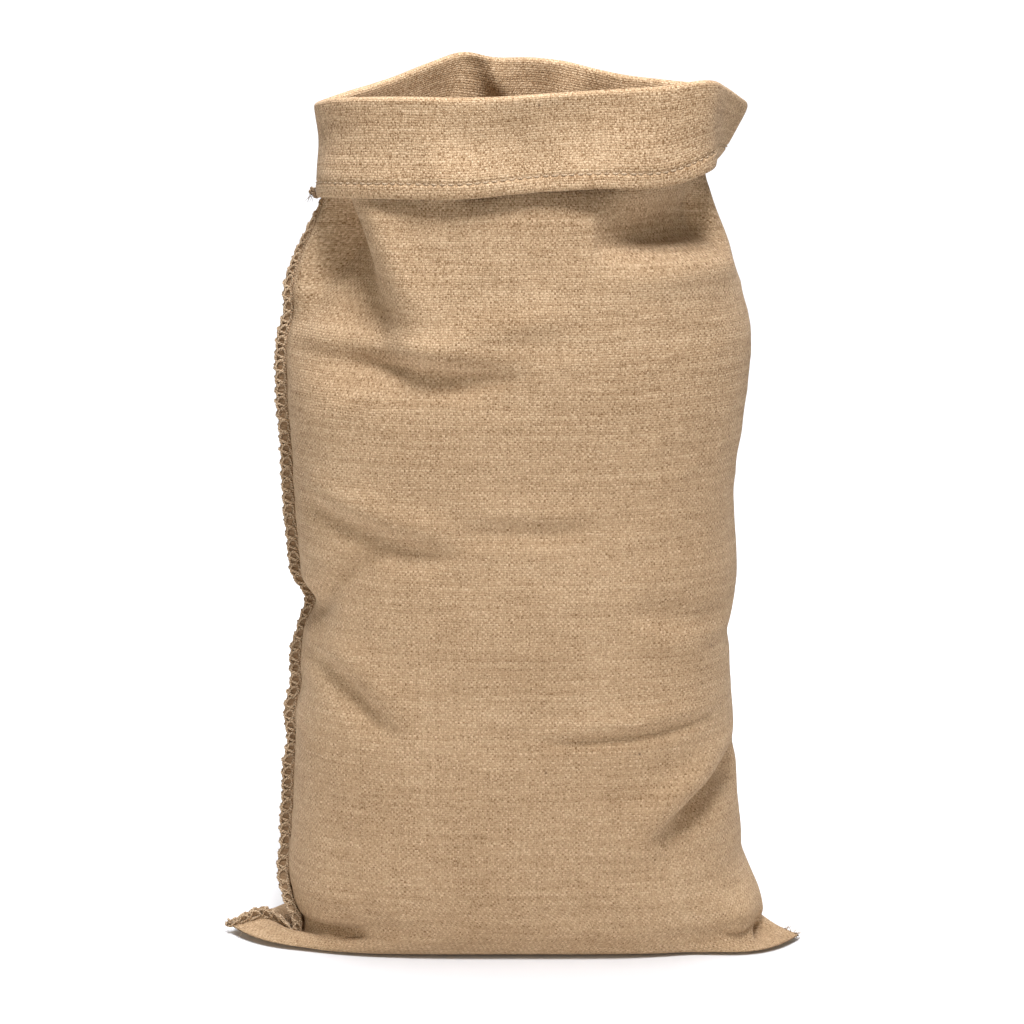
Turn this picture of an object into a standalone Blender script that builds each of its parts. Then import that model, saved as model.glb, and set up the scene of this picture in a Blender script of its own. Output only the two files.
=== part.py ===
"""Open burlap sack standing upright, its mouth turned down outwards in a cuff.

One cloth, folded at the right side (+X), sewn up the left side (-X) and along the foot. The
front faces -Y. The sack is one shell: an outer face and an inner face, joined only at the
hem's edge. Both faces are sheets of rings and columns: the rings climb from the foot seam to
the rim, roll over it and come down the cuff.
"""
from typing import NamedTuple

import bmesh
import bpy
import numpy as np

CLOTH = 0.0020          # thickness of the burlap
ROLL = 0.0038           # inner radius of the rim's roll
HEM_DEPTH = 0.0155      # height of the doubled hem
EAR_SHORT = 0.025       # the hollow stops this far short of each ear's tip
GROOVE_DEPTH = 0.0025   # the foot seam stands this far above the floor
GROOVE_WIDTH = 0.010
EAR_FORWARD_RIGHT = 0.044   # how far forward the foot's two ears are turned
EAR_FORWARD_LEFT = 0.020
CURL_FORWARD = 0.036    # the side seam curls forward just above the foot
CURL_LEVEL = 4.1
BULGE_FORWARD = 0.014   # the right end bulges forward over its ear
BULGE_LEVEL = 5.4
CENTRE = (0.0, 0.0003)  # where the box's centre would fall without this shift
COLUMNS_PER_SIDE = 22
LIP_COLUMNS = (0.0, 0.0026, 0.0042)   # fractions of a side, close to the side seam
FOOT_STEPS = (0.0, 0.12, 0.5, 0.85)
ROLL_STEPS = (30, 62, 95, 128, 160)
CUFF_STEPS = (0.02, 0.22, 0.45, 0.68, 0.79, 0.85, 1.0)
ROW_HEIGHTS = (0.075, 0.105, 0.135, 0.165, 0.200, 0.235, 0.265, 0.295, 0.325, 0.350, 0.378, 0.408,
               0.430, 0.462, 0.500, 0.540, 0.578, 0.604, 0.622, 0.642, 0.668, 0.697, 0.727,
               0.757, 0.787, 0.817, 0.847, 0.870, 0.892)
BURLAP = (0.533, 0.356, 0.216, 1.0)


class Ring(NamedTuple):
    """One level of the wall, in millimetres and degrees."""

    mid: float       # height away from the two sides
    left: float      # root of the side seam's lip
    left_z: float
    lip: float       # width of the lip
    turn: float      # the lip's direction, turned from -X towards +Z
    right: float
    right_z: float
    front: float
    back: float
    square: float    # exponent across
    round: float     # exponent in depth


RINGS = (
    Ring(0, -297, 8, 1, 90, 300, 5, -100, 100, 5.0, 1.0),
    Ring(3, -281, 11, 11, 92, 287, 10, -104, 104, 5.0, 1.0),
    Ring(8, -262, 16, 12, 88, 275, 16, -107, 107, 4.8, 1.05),
    Ring(15, -243, 13, 12, 78, 268, 20, -110, 110, 4.5, 1.15),
    Ring(24, -223, 6, 11, 44, 261, 25, -113, 113, 4.2, 1.3),
    Ring(34, -219, 20, 13, 10, 262, 36, -116, 116, 3.9, 1.5),
    Ring(50, -231, 43, 13, 2, 258, 52, -119, 119, 3.7, 1.7),
    Ring(75, -236, 72, 14, 0, 246, 76, -123, 123, 3.5, 1.9),
    Ring(120, -232, 120, 14, 0, 239, 120, -128, 128, 3.4, 2.0),
    Ring(195, -226, 195, 14, 0, 235, 195, -131, 131, 3.3, 2.1),
    Ring(273, -221, 273, 14, 0, 228, 273, -131, 130, 3.3, 2.1),
    Ring(345, -219, 345, 13, 0, 227, 345, -130, 129, 3.2, 2.1),
    Ring(400, -219, 400, 14, 0, 230, 400, -129, 128, 3.2, 2.1),
    Ring(462, -223, 462, 14, 0, 229, 462, -128, 127, 3.1, 2.1),
    Ring(525, -223, 525, 14, 0, 233, 525, -129, 126, 3.0, 2.1),
    Ring(587, -228, 587, 14, 0, 238, 587, -129, 124, 2.8, 2.1),
    Ring(634, -227, 634, 13, 0, 242, 634, -128, 121, 2.6, 2.1),
    Ring(680, -220, 680, 11, 0, 234, 680, -125, 115, 2.6, 2.1),
    Ring(725, -207, 725, 9, 0, 221, 725, -119, 108, 2.4, 2.1),
    Ring(770, -194, 770, 6, 0, 206, 770, -111, 102, 2.6, 2.1),
    Ring(810, -189, 810, 2, 0, 195, 810, -102, 98, 3.0, 2.0),
    Ring(850, -189, 850, 1, 0, 197, 850, -98, 96, 3.4, 1.9),
    Ring(872, -190, 872, 1, 0, 211, 872, -98, 95, 3.4, 1.8),
    Ring(892, -190, 892, 1, 0, 228, 892, -99, 95, 3.4, 1.7),
)


class MouthPoint(NamedTuple):
    """One place round the mouth: turn 0 is the seam, 0.5 the right fold. Lengths in mm."""

    turn: float
    rim: float       # height of the rim
    drop: float      # height of the cuff
    gap: float       # how far the cuff's edge stands off beyond the roll
    wave: float      # the whole mouth pushed outwards


MOUTH = (
    MouthPoint(0.00, 871, 94, -3, 0), MouthPoint(0.05, 879, 96, 5, 0),
    MouthPoint(0.12, 884, 97, 9, -2), MouthPoint(0.19, 884, 95, 17, -3),
    MouthPoint(0.23, 886, 93, 9, 2), MouthPoint(0.26, 888, 92, 11, 1),
    MouthPoint(0.31, 891, 92, 18, -2), MouthPoint(0.38, 895, 95, 9, 1),
    MouthPoint(0.42, 899, 87, 0, 6), MouthPoint(0.455, 890, 72, -13, -6),
    MouthPoint(0.50, 873, 60, -32, 0), MouthPoint(0.55, 882, 72, -14, 0),
    MouthPoint(0.61, 885, 90, 6, 3), MouthPoint(0.66, 891, 95, 9, -3),
    MouthPoint(0.69, 898, 97, 10, -8), MouthPoint(0.715, 903, 98, 10, 6),
    MouthPoint(0.745, 907, 99, 14, 1), MouthPoint(0.785, 909, 100, 27, -8),
    MouthPoint(0.82, 912, 100, 15, 10), MouthPoint(0.85, 903, 98, 9, 3),
    MouthPoint(0.895, 887, 95, 6, 0), MouthPoint(0.94, 877, 92, 2, 0),
)


class Crease(NamedTuple):
    """A trough between two places on one side, with a ridge beside it. Millimetres.

    bend bows the line; sharp narrows the trough on its ridge's side; taper narrows its start.
    """

    side: int        # -1 front, 1 back
    x0: float
    z0: float
    x1: float
    z1: float
    trough: float
    trough_width: float
    ridge: float
    ridge_width: float
    ridge_shift: float
    bend: float = 0.0
    sharp: float = 1.0
    taper: float = 0.0


CREASES = (
    Crease(-1, -266, 884, -118, 604, 54, 58, 7, 20, 56, 0, 0.5),
    Crease(-1, 80, 737, 264, 752, 36, 60, 8, 18, -36, 0, 0.4, 0.5),
    Crease(-1, -118, 846, -10, 790, 10, 17, 3, 16, -26, 0, 0.8),
    Crease(-1, 14, 840, 104, 792, 9, 16, 0, 14, 20),
    Crease(-1, -226, 622, 20, 606, 13, 24, 11, 15, 26, -4, 0.45),
    Crease(-1, -70, 632, 70, 648, 3, 16, 4, 14, 20, 0, 0.7),
    Crease(-1, -215, 474, -50, 422, 9, 20, 7, 15, 25, -6, 0.5),
    Crease(-1, -212, 352, -130, 432, 9, 14, 3, 14, 26, 4, 0.7),
    Crease(-1, -212, 318, -115, 236, 11, 17, 6, 16, 26, 4, 0.6),
    Crease(-1, -60, 452, 100, 448, 4, 12, 3, 14, 22),
    Crease(-1, 20, 236, 218, 256, 6, 9, 4, 11, 14, -3, 0.5),
    Crease(-1, 250, 214, 142, 124, 22, 24, 11, 16, -26, 3, 0.38),
    Crease(-1, 92, 100, 240, 122, 3, 17, 3, 18, 30, -5, 0.8),
    Crease(-1, 215, 348, 120, 372, 6, 14, 4, 16, 24),
    Crease(-1, -225, 30, -150, 24, 13, 13, 4, 18, 28),
    Crease(-1, 263, -8, 268, 44, 50, 8, 5, 12, -20),
    Crease(1, -44, 935, 30, 800, 18, 22, 1, 12, -24, 0, 0.5),
    Crease(1, -200, 850, -110, 640, 26, 26, 8, 22, 46),
    Crease(1, 205, 850, 90, 630, 26, 26, 8, 22, -46),
    Crease(1, -10, 780, 20, 670, 10, 20, 5, 20, 36),
    Crease(1, -200, 560, 40, 520, 8, 15, 6, 18, 28, 8),
    Crease(1, 215, 420, 20, 470, 8, 15, 6, 18, -28, -7),
    Crease(1, -205, 300, -20, 250, 8, 16, 6, 18, 28, 6),
    Crease(1, 215, 190, 60, 130, 11, 15, 7, 18, 26, 5, 0.7),
    Crease(1, -215, 60, -90, 110, 9, 16, 5, 18, 28),
)


class Notch(NamedTuple):
    """A pinch in the outline at one side. Millimetres; depth is inwards."""

    side: int        # -1 left, 1 right
    z: float
    depth: float
    spread: float


NOTCHES = (
    Notch(-1, 356, 14, 18), Notch(-1, 268, 4, 16), Notch(1, 326, 4, 16), Notch(1, 205, 3, 14),
    Notch(1, 90, 3, 12), Notch(-1, 655, 4, 18),
)


def smooth_curve(knots, values, at):
    """Cubic through the knots, its slope at each one taken from its two neighbours."""
    knots, values, at = (np.asarray(item, float) for item in (knots, values, at))
    slopes = np.gradient(values, knots)
    low = np.clip(np.searchsorted(knots, at, side="right") - 1, 0, len(knots) - 2)
    span = knots[low + 1] - knots[low]
    t = np.clip((at - knots[low]) / span, 0.0, 1.0)
    rise = t * t * (3.0 - 2.0 * t)
    return (values[low] * (1.0 - rise) + values[low + 1] * rise
            + span * (slopes[low] * t * (1.0 - t) ** 2 - slopes[low + 1] * t * t * (1.0 - t)))


def ramp(value, low, high):
    """0 below low, 1 above high, eased between."""
    t = np.clip((value - low) / (high - low), 0.0, 1.0)
    return t * t * (3.0 - 2.0 * t)


def bell(value, width):
    """1 at zero, falling away over the width."""
    return np.exp(-(value / width) ** 2)


def ring_value(name, level):
    """One column of the ring table at any level; lengths come out in metres."""
    values = [getattr(ring, name) for ring in RINGS]
    scale = 1.0 if name in ("turn", "square", "round") else 0.001
    return smooth_curve(np.arange(len(RINGS)), values, level) * scale


def mouth_value(name, turns):
    """One column of the mouth table at any turn, in metres; the table closes on itself."""
    knots = np.array([point.turn for point in MOUTH])
    values = np.array([getattr(point, name) for point in MOUTH])
    knots = np.concatenate((knots[-2:] - 1.0, knots, knots[:2] + 1.0))
    values = np.concatenate((values[-2:], values, values[:2]))
    return smooth_curve(knots, values, turns) * 0.001


def side_fractions():
    """How far along one side each column lies, from the side seam to the right fold."""
    even = np.linspace(0.0, 1.0, COLUMNS_PER_SIDE + 1)
    return np.concatenate((LIP_COLUMNS, even[1:]))


def turns_round():
    """Every column's turn, once round: front from 0 to 0.5, back from 0.5 to 1."""
    side = side_fractions() * 0.5
    return np.concatenate((side, 1.0 - side[-2:0:-1]))


def half_section(reach, depth, square, round_, fractions):
    """One side of |x/reach|^square + |y/depth|^round = 1, spaced by length along it."""
    angle = np.linspace(0.0, np.pi, 241)
    x = -np.cos(angle) * reach
    y = depth * np.maximum(1.0 - np.abs(np.cos(angle)) ** square, 0.0) ** (1.0 / round_)
    run = np.concatenate(([0.0], np.cumsum(np.hypot(np.diff(x), np.diff(y)))))
    return np.interp(fractions * run[-1], run, x), np.interp(fractions * run[-1], run, y)


def section(level, inset):
    """The plan of one ring: x and y of every column, drawn in by the inset."""
    left = ring_value("left", level) + inset
    right = ring_value("right", level) - inset
    square, round_ = ring_value("square", level), ring_value("round", level)
    reach, middle, fractions = (right - left) / 2.0, (right + left) / 2.0, side_fractions()
    fx, fy = half_section(reach, ring_value("front", level) + inset, square, round_, fractions)
    bx, by = half_section(reach, ring_value("back", level) - inset, square, round_, fractions)
    x = np.concatenate((fx, bx[-2:0:-1])) + middle
    return x, np.concatenate((fy, by[-2:0:-1]))


def side_weights(x, left, right, reach):
    """How much each column belongs to the left end and to the right end of its ring."""
    return 1.0 - ramp(x - left, 0.0, reach), 1.0 - ramp(right - x, 0.0, reach)


def ring_points(level, inset):
    """One ring of the wall before its folds: an array of points, one for each column."""
    x, y = section(level, inset)
    mid = ring_value("mid", level)
    left_z, right_z = ring_value("left_z", level), ring_value("right_z", level)
    low = 1.0 - ramp(mid, 0.03, 0.09)
    if inset:
        left_z -= low * 0.5 * np.maximum(left_z - inset, 0.0)
        right_z -= low * 0.5 * np.maximum(right_z - inset, 0.0)
        mid = np.maximum(mid, inset)
    to_left, to_right = side_weights(x, x.min(), x.max(), 0.11)
    z = mid + (left_z - mid) * to_left + (right_z - mid) * to_right
    rise = (mouth_value("rim", turns_round()) - 0.900) * ramp(mid, 0.70, 0.892)
    return np.stack((x, y, z + rise), axis=-1)


def outward(points):
    """Level direction square to a ring, pointing out of the sack."""
    ahead = np.roll(points, -3, axis=0) - np.roll(points, 3, axis=0)
    away = np.stack((ahead[:, 1], -ahead[:, 0], np.zeros(len(points))), axis=-1)
    return away / np.linalg.norm(away, axis=1)[:, None]


def crease_push(points):
    """How far the folds push each point outwards."""
    push = np.zeros(len(points))
    for crease in CREASES:
        start, end = np.array((crease.x0, crease.z0)), np.array((crease.x1, crease.z1))
        along = (end - start) / np.linalg.norm(end - start)
        away = points[:, (0, 2)] * 1000.0 - start
        t = away @ along / np.linalg.norm(end - start)
        inside = np.clip(t, 0.0, 1.0)
        across = away @ np.array((-along[1], along[0])) - crease.bend * 4.0 * inside * (1.0 - inside)
        towards = np.sign(crease.ridge_shift) * across > 0.0
        width = crease.trough_width * np.where(towards, crease.sharp, 1.0)
        width = width * (1.0 - crease.taper * (1.0 - inside))
        shape = (crease.ridge * bell(across - crease.ridge_shift, crease.ridge_width)
                 - crease.trough * bell(across, width))
        fade = 1.0 - ramp(points[:, 2], 0.82, 0.88) * (crease.side < 0)
        push += (np.sin(np.pi * inside) ** 0.7 * shape * fade
                 * ramp(points[:, 1] * 1000.0 * crease.side, 8.0, 44.0))
    return push * 0.001


def notch_push(points):
    """How far the pinches at the two sides push each point outwards."""
    push = np.zeros(len(points))
    to_left, to_right = side_weights(points[:, 0], points[:, 0].min(), points[:, 0].max(), 0.05)
    for notch in NOTCHES:
        weight = to_left if notch.side < 0 else to_right
        push -= weight * notch.depth * bell(points[:, 2] * 1000.0 - notch.z, notch.spread)
    return push * 0.001


def lip_points(points, level):
    """The seam's lip drawn out from the columns next to the seam."""
    turn, width = np.radians(ring_value("turn", level)), ring_value("lip", level)
    turns = turns_round()
    near = np.minimum(turns, 1.0 - turns) * 2.0 < LIP_COLUMNS[1] + 1e-6
    points = points.copy()
    points[near] += width * np.array((-np.cos(turn), 0.0, np.sin(turn)))
    return points


def wall_rings(inset):
    """Every ring from the foot's outline to just under the rim."""
    low = np.arange(0.0, 7.0)
    mids = [ring.mid * 0.001 for ring in RINGS]
    levels = np.concatenate((low, np.interp(ROW_HEIGHTS, mids, np.arange(len(mids)))))
    rings = []
    for level in levels:
        outer = ring_points(level, 0.0)
        push = crease_push(outer) + notch_push(outer)
        push += mouth_value("wave", turns_round()) * ramp(outer[:, 2], 0.79, 0.88)
        push *= ramp(level, 0.0, 3.0)
        points = ring_points(level, inset) + push[:, None] * outward(outer)
        if inset:
            points = shorten_ears(points, level)
        points = come_forward(points, level)
        if not inset:
            points = lip_points(points, level)
        rings.append(points)
    return rings


def swing(x):
    """How far forward the two ears are turned."""
    return EAR_FORWARD_RIGHT * ramp(x, 0.17, 0.297) + EAR_FORWARD_LEFT * ramp(-x, 0.20, 0.297)


def come_forward(points, level):
    """Turn the ears forward, and bring the seam's curl and the right end's bulge forward."""
    points = points.copy()
    x, low = points[:, 0], 1.0 - ramp(points[:, 2], 0.02, 0.09)
    curl = bell(level - CURL_LEVEL, 1.5) * (1.0 - ramp(x - x.min(), 0.01, 0.07))
    bulge = bell(level - BULGE_LEVEL, 1.3) * (1.0 - ramp(x.max() - x, 0.0, 0.05))
    points[:, 1] -= swing(x) * low + CURL_FORWARD * curl + BULGE_FORWARD * bulge
    return points


def shorten_ears(points, level):
    """Draw the hollow back from the ears' tips in the lowest rings."""
    share = 1.0 - ramp(level, 2.5, 6.5)
    points = points.copy()
    points[:, 0] *= 1.0 - share * EAR_SHORT / 0.297
    return points


def foot_rings(outline, inset):
    """The flat foot, from the seam line out to the outline."""
    rings = []
    line = swing(outline[:, 0])
    for step in FOOT_STEPS:
        ring = outline.copy()
        ring[:, 1] = (ring[:, 1] + line) * step - line
        groove = GROOVE_DEPTH * bell(ring[:, 1] + line, GROOVE_WIDTH)
        groove *= 1.0 - ramp(np.abs(outline[:, 0]), 0.22, 0.27)
        ring[:, 2] = outline[:, 2] + groove
        rings.append(ring)
    return rings


def cuff_rings(top, face):
    """The rim's roll and the cuff; face 0 is the side against the neck, 1 the side seen."""
    away, up = outward(top), np.array((0.0, 0.0, 1.0))
    turns = turns_round()
    centre = top + away * ROLL
    radius = ROLL + CLOTH * face
    rings = [centre + radius * (np.sin(a) * up - np.cos(a) * away)
             for a in np.radians(ROLL_STEPS)]
    gap, drop = mouth_value("gap", turns)[:, None], mouth_value("drop", turns)[:, None]
    for step in CUFF_STEPS:
        spread = radius + gap * step ** 1.3 + hem_swell(step, drop, face)
        rings.append(centre + spread * away - step * (drop - ROLL) * up)
    return rings


def hem_swell(step, drop, face):
    """The doubled hem: thicker towards the neck, a little proud on the side seen."""
    doubled = 1.0 - ramp((1.0 - step) * drop, HEM_DEPTH * 0.95, HEM_DEPTH * 1.35)
    return doubled * (CLOTH * 0.3 if face else -CLOTH * 0.7)


def sheet(inset, face):
    """One face of the cloth, every ring from the foot seam to the hem's edge."""
    wall = wall_rings(inset)
    top_outer = wall[-1]
    if inset:
        top_outer = wall_rings(0.0)[-1]
    return foot_rings(wall[0], inset) + wall + cuff_rings(top_outer, face)


def add_sheet(mesh, rings, flip):
    """Put one face's rings into the mesh, joined by quads; returns its last ring."""
    rows = [[mesh.verts.new(point) for point in ring] for ring in rings]
    for low, high in zip(rows[:-1], rows[1:]):
        join_rings(mesh, low, high, flip)
    return rows[-1]


def join_rings(mesh, low, high, flip):
    """A band of quads between two rings."""
    count = len(low)
    for i in range(count):
        j = (i + 1) % count
        quad = (low[i], low[j], high[j], high[i])
        mesh.faces.new(tuple(reversed(quad)) if flip else quad)


def build_cloth():
    """The whole sack as one closed shell."""
    mesh = bmesh.new()
    outer = add_sheet(mesh, sheet(0.0, 0), False)
    inner = add_sheet(mesh, sheet(CLOTH, 1), True)
    join_rings(mesh, outer, inner, False)
    bmesh.ops.remove_doubles(mesh, verts=mesh.verts, dist=0.00002)
    bmesh.ops.dissolve_degenerate(mesh, edges=mesh.edges, dist=0.00001)
    bmesh.ops.triangulate(mesh, faces=mesh.faces)
    bmesh.ops.recalc_face_normals(mesh, faces=mesh.faces)
    for vertex in mesh.verts:
        vertex.co.x -= CENTRE[0]
        vertex.co.y -= CENTRE[1]
    return mesh


def add_object(name, mesh, material):
    """Turn a bmesh into a named object."""
    data = bpy.data.meshes.new(name)
    mesh.to_mesh(data)
    mesh.free()
    data.materials.append(material)
    thing = bpy.data.objects.new(name, data)
    bpy.context.scene.collection.objects.link(thing)
    return thing


def burlap():
    """Plain tan burlap."""
    material = bpy.data.materials.new("burlap")
    material.use_nodes = True
    shader = material.node_tree.nodes["Principled BSDF"]
    shader.inputs["Base Color"].default_value = BURLAP
    shader.inputs["Roughness"].default_value = 0.95
    return material


def main():
    """Clear the scene and build the sack."""
    for thing in list(bpy.data.objects):
        bpy.data.objects.remove(thing, do_unlink=True)
    add_object("sack_cloth", build_cloth(), burlap())


main()
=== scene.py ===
"""The visible burlap sack: standing open, its mouth turned down outwards in a hemmed cuff.

The cloth is one closed sheet on the folds of its CAD solid. Twine, stitches, knots and stray
fibres are pieces of their own. Lengths are metres; the front faces -Y and +Z is up.
"""
from __future__ import annotations

import logging
from dataclasses import dataclass, field
from enum import Enum
from typing import Any, Callable, NamedTuple, Sequence

import bmesh
import bpy
import numpy as np
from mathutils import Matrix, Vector


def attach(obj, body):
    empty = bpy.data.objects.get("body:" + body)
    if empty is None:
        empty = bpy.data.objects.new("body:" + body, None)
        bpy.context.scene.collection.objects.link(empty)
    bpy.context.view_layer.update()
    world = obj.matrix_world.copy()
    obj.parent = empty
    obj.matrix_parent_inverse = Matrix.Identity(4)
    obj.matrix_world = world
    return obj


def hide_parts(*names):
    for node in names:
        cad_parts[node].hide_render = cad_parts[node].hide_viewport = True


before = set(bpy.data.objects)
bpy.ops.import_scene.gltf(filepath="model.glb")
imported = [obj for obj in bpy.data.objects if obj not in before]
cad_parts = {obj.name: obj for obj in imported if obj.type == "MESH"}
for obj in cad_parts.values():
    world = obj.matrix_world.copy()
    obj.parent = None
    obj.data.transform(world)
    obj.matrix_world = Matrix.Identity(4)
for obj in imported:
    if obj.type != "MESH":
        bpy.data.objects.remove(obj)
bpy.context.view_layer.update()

Array = np.ndarray
Place = tuple[float, float, float]
Colour = tuple[float, float, float, float]
LOG = logging.getLogger("sack")
MM = 0.001
UP = np.array((0.0, 0.0, 1.0))
BACK = np.array((0.0, 1.0, 0.0))


# ---------------------------------------------------------------- tables of the sack's shape
class Ring(NamedTuple):
    """One level of the wall, in millimetres and degrees."""

    mid: float
    left: float
    left_z: float
    lip: float
    turn: float
    right: float
    right_z: float
    front: float
    back: float
    square: float
    round: float


RINGS: tuple[Ring, ...] = (
    Ring(0, -297, 8, 1, 90, 300, 5, -100, 100, 5.0, 1.0),
    Ring(3, -281, 11, 11, 92, 287, 10, -104, 104, 5.0, 1.0),
    Ring(8, -262, 16, 12, 88, 275, 16, -107, 107, 4.8, 1.05),
    Ring(15, -243, 13, 12, 78, 268, 20, -110, 110, 4.5, 1.15),
    Ring(24, -223, 6, 11, 44, 261, 25, -113, 113, 4.2, 1.3),
    Ring(34, -219, 20, 13, 10, 262, 36, -116, 116, 3.9, 1.5),
    Ring(50, -231, 43, 13, 2, 258, 52, -119, 119, 3.7, 1.7),
    Ring(75, -236, 72, 14, 0, 246, 76, -123, 123, 3.5, 1.9),
    Ring(120, -232, 120, 14, 0, 239, 120, -128, 128, 3.4, 2.0),
    Ring(195, -226, 195, 14, 0, 235, 195, -131, 131, 3.3, 2.1),
    Ring(273, -221, 273, 14, 0, 228, 273, -131, 130, 3.3, 2.1),
    Ring(345, -219, 345, 13, 0, 227, 345, -130, 129, 3.2, 2.1),
    Ring(400, -219, 400, 14, 0, 230, 400, -129, 128, 3.2, 2.1),
    Ring(462, -223, 462, 14, 0, 229, 462, -128, 127, 3.1, 2.1),
    Ring(525, -223, 525, 14, 0, 233, 525, -129, 126, 3.0, 2.1),
    Ring(587, -228, 587, 14, 0, 238, 587, -129, 124, 2.8, 2.1),
    Ring(634, -227, 634, 13, 0, 242, 634, -128, 121, 2.6, 2.1),
    Ring(680, -220, 680, 11, 0, 234, 680, -125, 115, 2.6, 2.1),
    Ring(725, -207, 725, 9, 0, 221, 725, -119, 108, 2.4, 2.1),
    Ring(770, -194, 770, 6, 0, 206, 770, -111, 102, 2.6, 2.1),
    Ring(810, -189, 810, 2, 0, 195, 810, -102, 98, 3.0, 2.0),
    Ring(850, -189, 850, 1, 0, 197, 850, -98, 96, 3.4, 1.9),
    Ring(872, -190, 872, 1, 0, 211, 872, -98, 95, 3.4, 1.8),
    Ring(892, -190, 892, 1, 0, 228, 892, -99, 95, 3.4, 1.7),
)


class MouthPoint(NamedTuple):
    """One place round the mouth: turn 0 is the seam, 0.5 the right fold. Lengths in mm."""

    turn: float
    rim: float
    drop: float
    gap: float
    wave: float


MOUTH: tuple[MouthPoint, ...] = (
    MouthPoint(0.00, 871, 94, -3, 0), MouthPoint(0.05, 879, 96, 5, 0),
    MouthPoint(0.12, 884, 97, 9, -2), MouthPoint(0.19, 884, 95, 17, -3),
    MouthPoint(0.23, 886, 93, 9, 2), MouthPoint(0.26, 888, 92, 11, 1),
    MouthPoint(0.31, 891, 92, 18, -2), MouthPoint(0.38, 895, 95, 9, 1),
    MouthPoint(0.42, 899, 87, 0, 6), MouthPoint(0.455, 890, 72, -13, -6),
    MouthPoint(0.50, 873, 60, -32, 0), MouthPoint(0.55, 882, 72, -14, 0),
    MouthPoint(0.61, 885, 90, 6, 3), MouthPoint(0.66, 891, 95, 9, -3),
    MouthPoint(0.69, 898, 97, 10, -8), MouthPoint(0.715, 903, 98, 10, 6),
    MouthPoint(0.745, 907, 99, 14, 1), MouthPoint(0.785, 909, 100, 27, -8),
    MouthPoint(0.82, 912, 100, 15, 10), MouthPoint(0.85, 903, 98, 9, 3),
    MouthPoint(0.895, 887, 95, 6, 0), MouthPoint(0.94, 877, 92, 2, 0),
)


class Crease(NamedTuple):
    """A trough between two places on one side with a ridge beside it, in millimetres.

    bend bows the line; sharp narrows the trough on its ridge's side; taper narrows its start.
    """

    side: int
    x0: float
    z0: float
    x1: float
    z1: float
    trough: float
    trough_width: float
    ridge: float
    ridge_width: float
    ridge_shift: float
    bend: float = 0.0
    sharp: float = 1.0
    taper: float = 0.0


CREASES: tuple[Crease, ...] = (
    Crease(-1, -266, 884, -118, 604, 54, 58, 7, 20, 56, 0, 0.5),
    Crease(-1, 80, 737, 264, 752, 36, 60, 8, 18, -36, 0, 0.4, 0.5),
    Crease(-1, -118, 846, -10, 790, 10, 17, 3, 16, -26, 0, 0.8),
    Crease(-1, 14, 840, 104, 792, 9, 16, 0, 14, 20),
    Crease(-1, -226, 622, 20, 606, 13, 24, 11, 15, 26, -4, 0.45),
    Crease(-1, -70, 632, 70, 648, 3, 16, 4, 14, 20, 0, 0.7),
    Crease(-1, -215, 474, -50, 422, 9, 20, 7, 15, 25, -6, 0.5),
    Crease(-1, -212, 352, -130, 432, 9, 14, 3, 14, 26, 4, 0.7),
    Crease(-1, -212, 318, -115, 236, 11, 17, 6, 16, 26, 4, 0.6),
    Crease(-1, -60, 452, 100, 448, 4, 12, 3, 14, 22),
    Crease(-1, 20, 236, 218, 256, 6, 9, 4, 11, 14, -3, 0.5),
    Crease(-1, 250, 214, 142, 124, 22, 24, 11, 16, -26, 3, 0.38),
    Crease(-1, 92, 100, 240, 122, 3, 17, 3, 18, 30, -5, 0.8),
    Crease(-1, 215, 348, 120, 372, 6, 14, 4, 16, 24),
    Crease(-1, -225, 30, -150, 24, 13, 13, 4, 18, 28),
    Crease(-1, 263, -8, 268, 44, 50, 8, 5, 12, -20),
    Crease(1, -44, 935, 30, 800, 18, 22, 1, 12, -24, 0, 0.5),
    Crease(1, -200, 850, -110, 640, 26, 26, 8, 22, 46),
    Crease(1, 205, 850, 90, 630, 26, 26, 8, 22, -46),
    Crease(1, -10, 780, 20, 670, 10, 20, 5, 20, 36),
    Crease(1, -200, 560, 40, 520, 8, 15, 6, 18, 28, 8),
    Crease(1, 215, 420, 20, 470, 8, 15, 6, 18, -28, -7),
    Crease(1, -205, 300, -20, 250, 8, 16, 6, 18, 28, 6),
    Crease(1, 215, 190, 60, 130, 11, 15, 7, 18, 26, 5, 0.7),
    Crease(1, -215, 60, -90, 110, 9, 16, 5, 18, 28),
)


class Notch(NamedTuple):
    """A pinch in the outline at one side, in millimetres."""

    side: int
    z: float
    depth: float
    spread: float


NOTCHES: tuple[Notch, ...] = (
    Notch(-1, 356, 14, 18), Notch(-1, 268, 4, 16), Notch(1, 326, 4, 16), Notch(1, 205, 3, 14),
    Notch(1, 90, 3, 12), Notch(-1, 655, 4, 18),
)


# ---------------------------------------------------------------- small maths
def smooth_curve(knots: Sequence[float], values: Sequence[float], at: Array) -> Array:
    """Cubic through knots, each slope taken from the two neighbours.

    Args:
        knots: Rising places.
        values: The value at each knot.
        at: Places to read, of any shape.

    Returns:
        The curve's values, shaped like at.
    """
    knots, values, at = (np.asarray(item, float) for item in (knots, values, at))
    slopes = np.gradient(values, knots)
    low = np.clip(np.searchsorted(knots, at, side="right") - 1, 0, len(knots) - 2)
    span = knots[low + 1] - knots[low]
    t = np.clip((at - knots[low]) / span, 0.0, 1.0)
    rise = t * t * (3.0 - 2.0 * t)
    return (values[low] * (1.0 - rise) + values[low + 1] * rise
            + span * (slopes[low] * t * (1.0 - t) ** 2 - slopes[low + 1] * t * t * (1.0 - t)))


def ramp(value: Array | float, low: float, high: float) -> Array:
    """0 below low, 1 above high, eased between."""
    t = np.clip((np.asarray(value, float) - low) / (high - low), 0.0, 1.0)
    return t * t * (3.0 - 2.0 * t)


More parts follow.
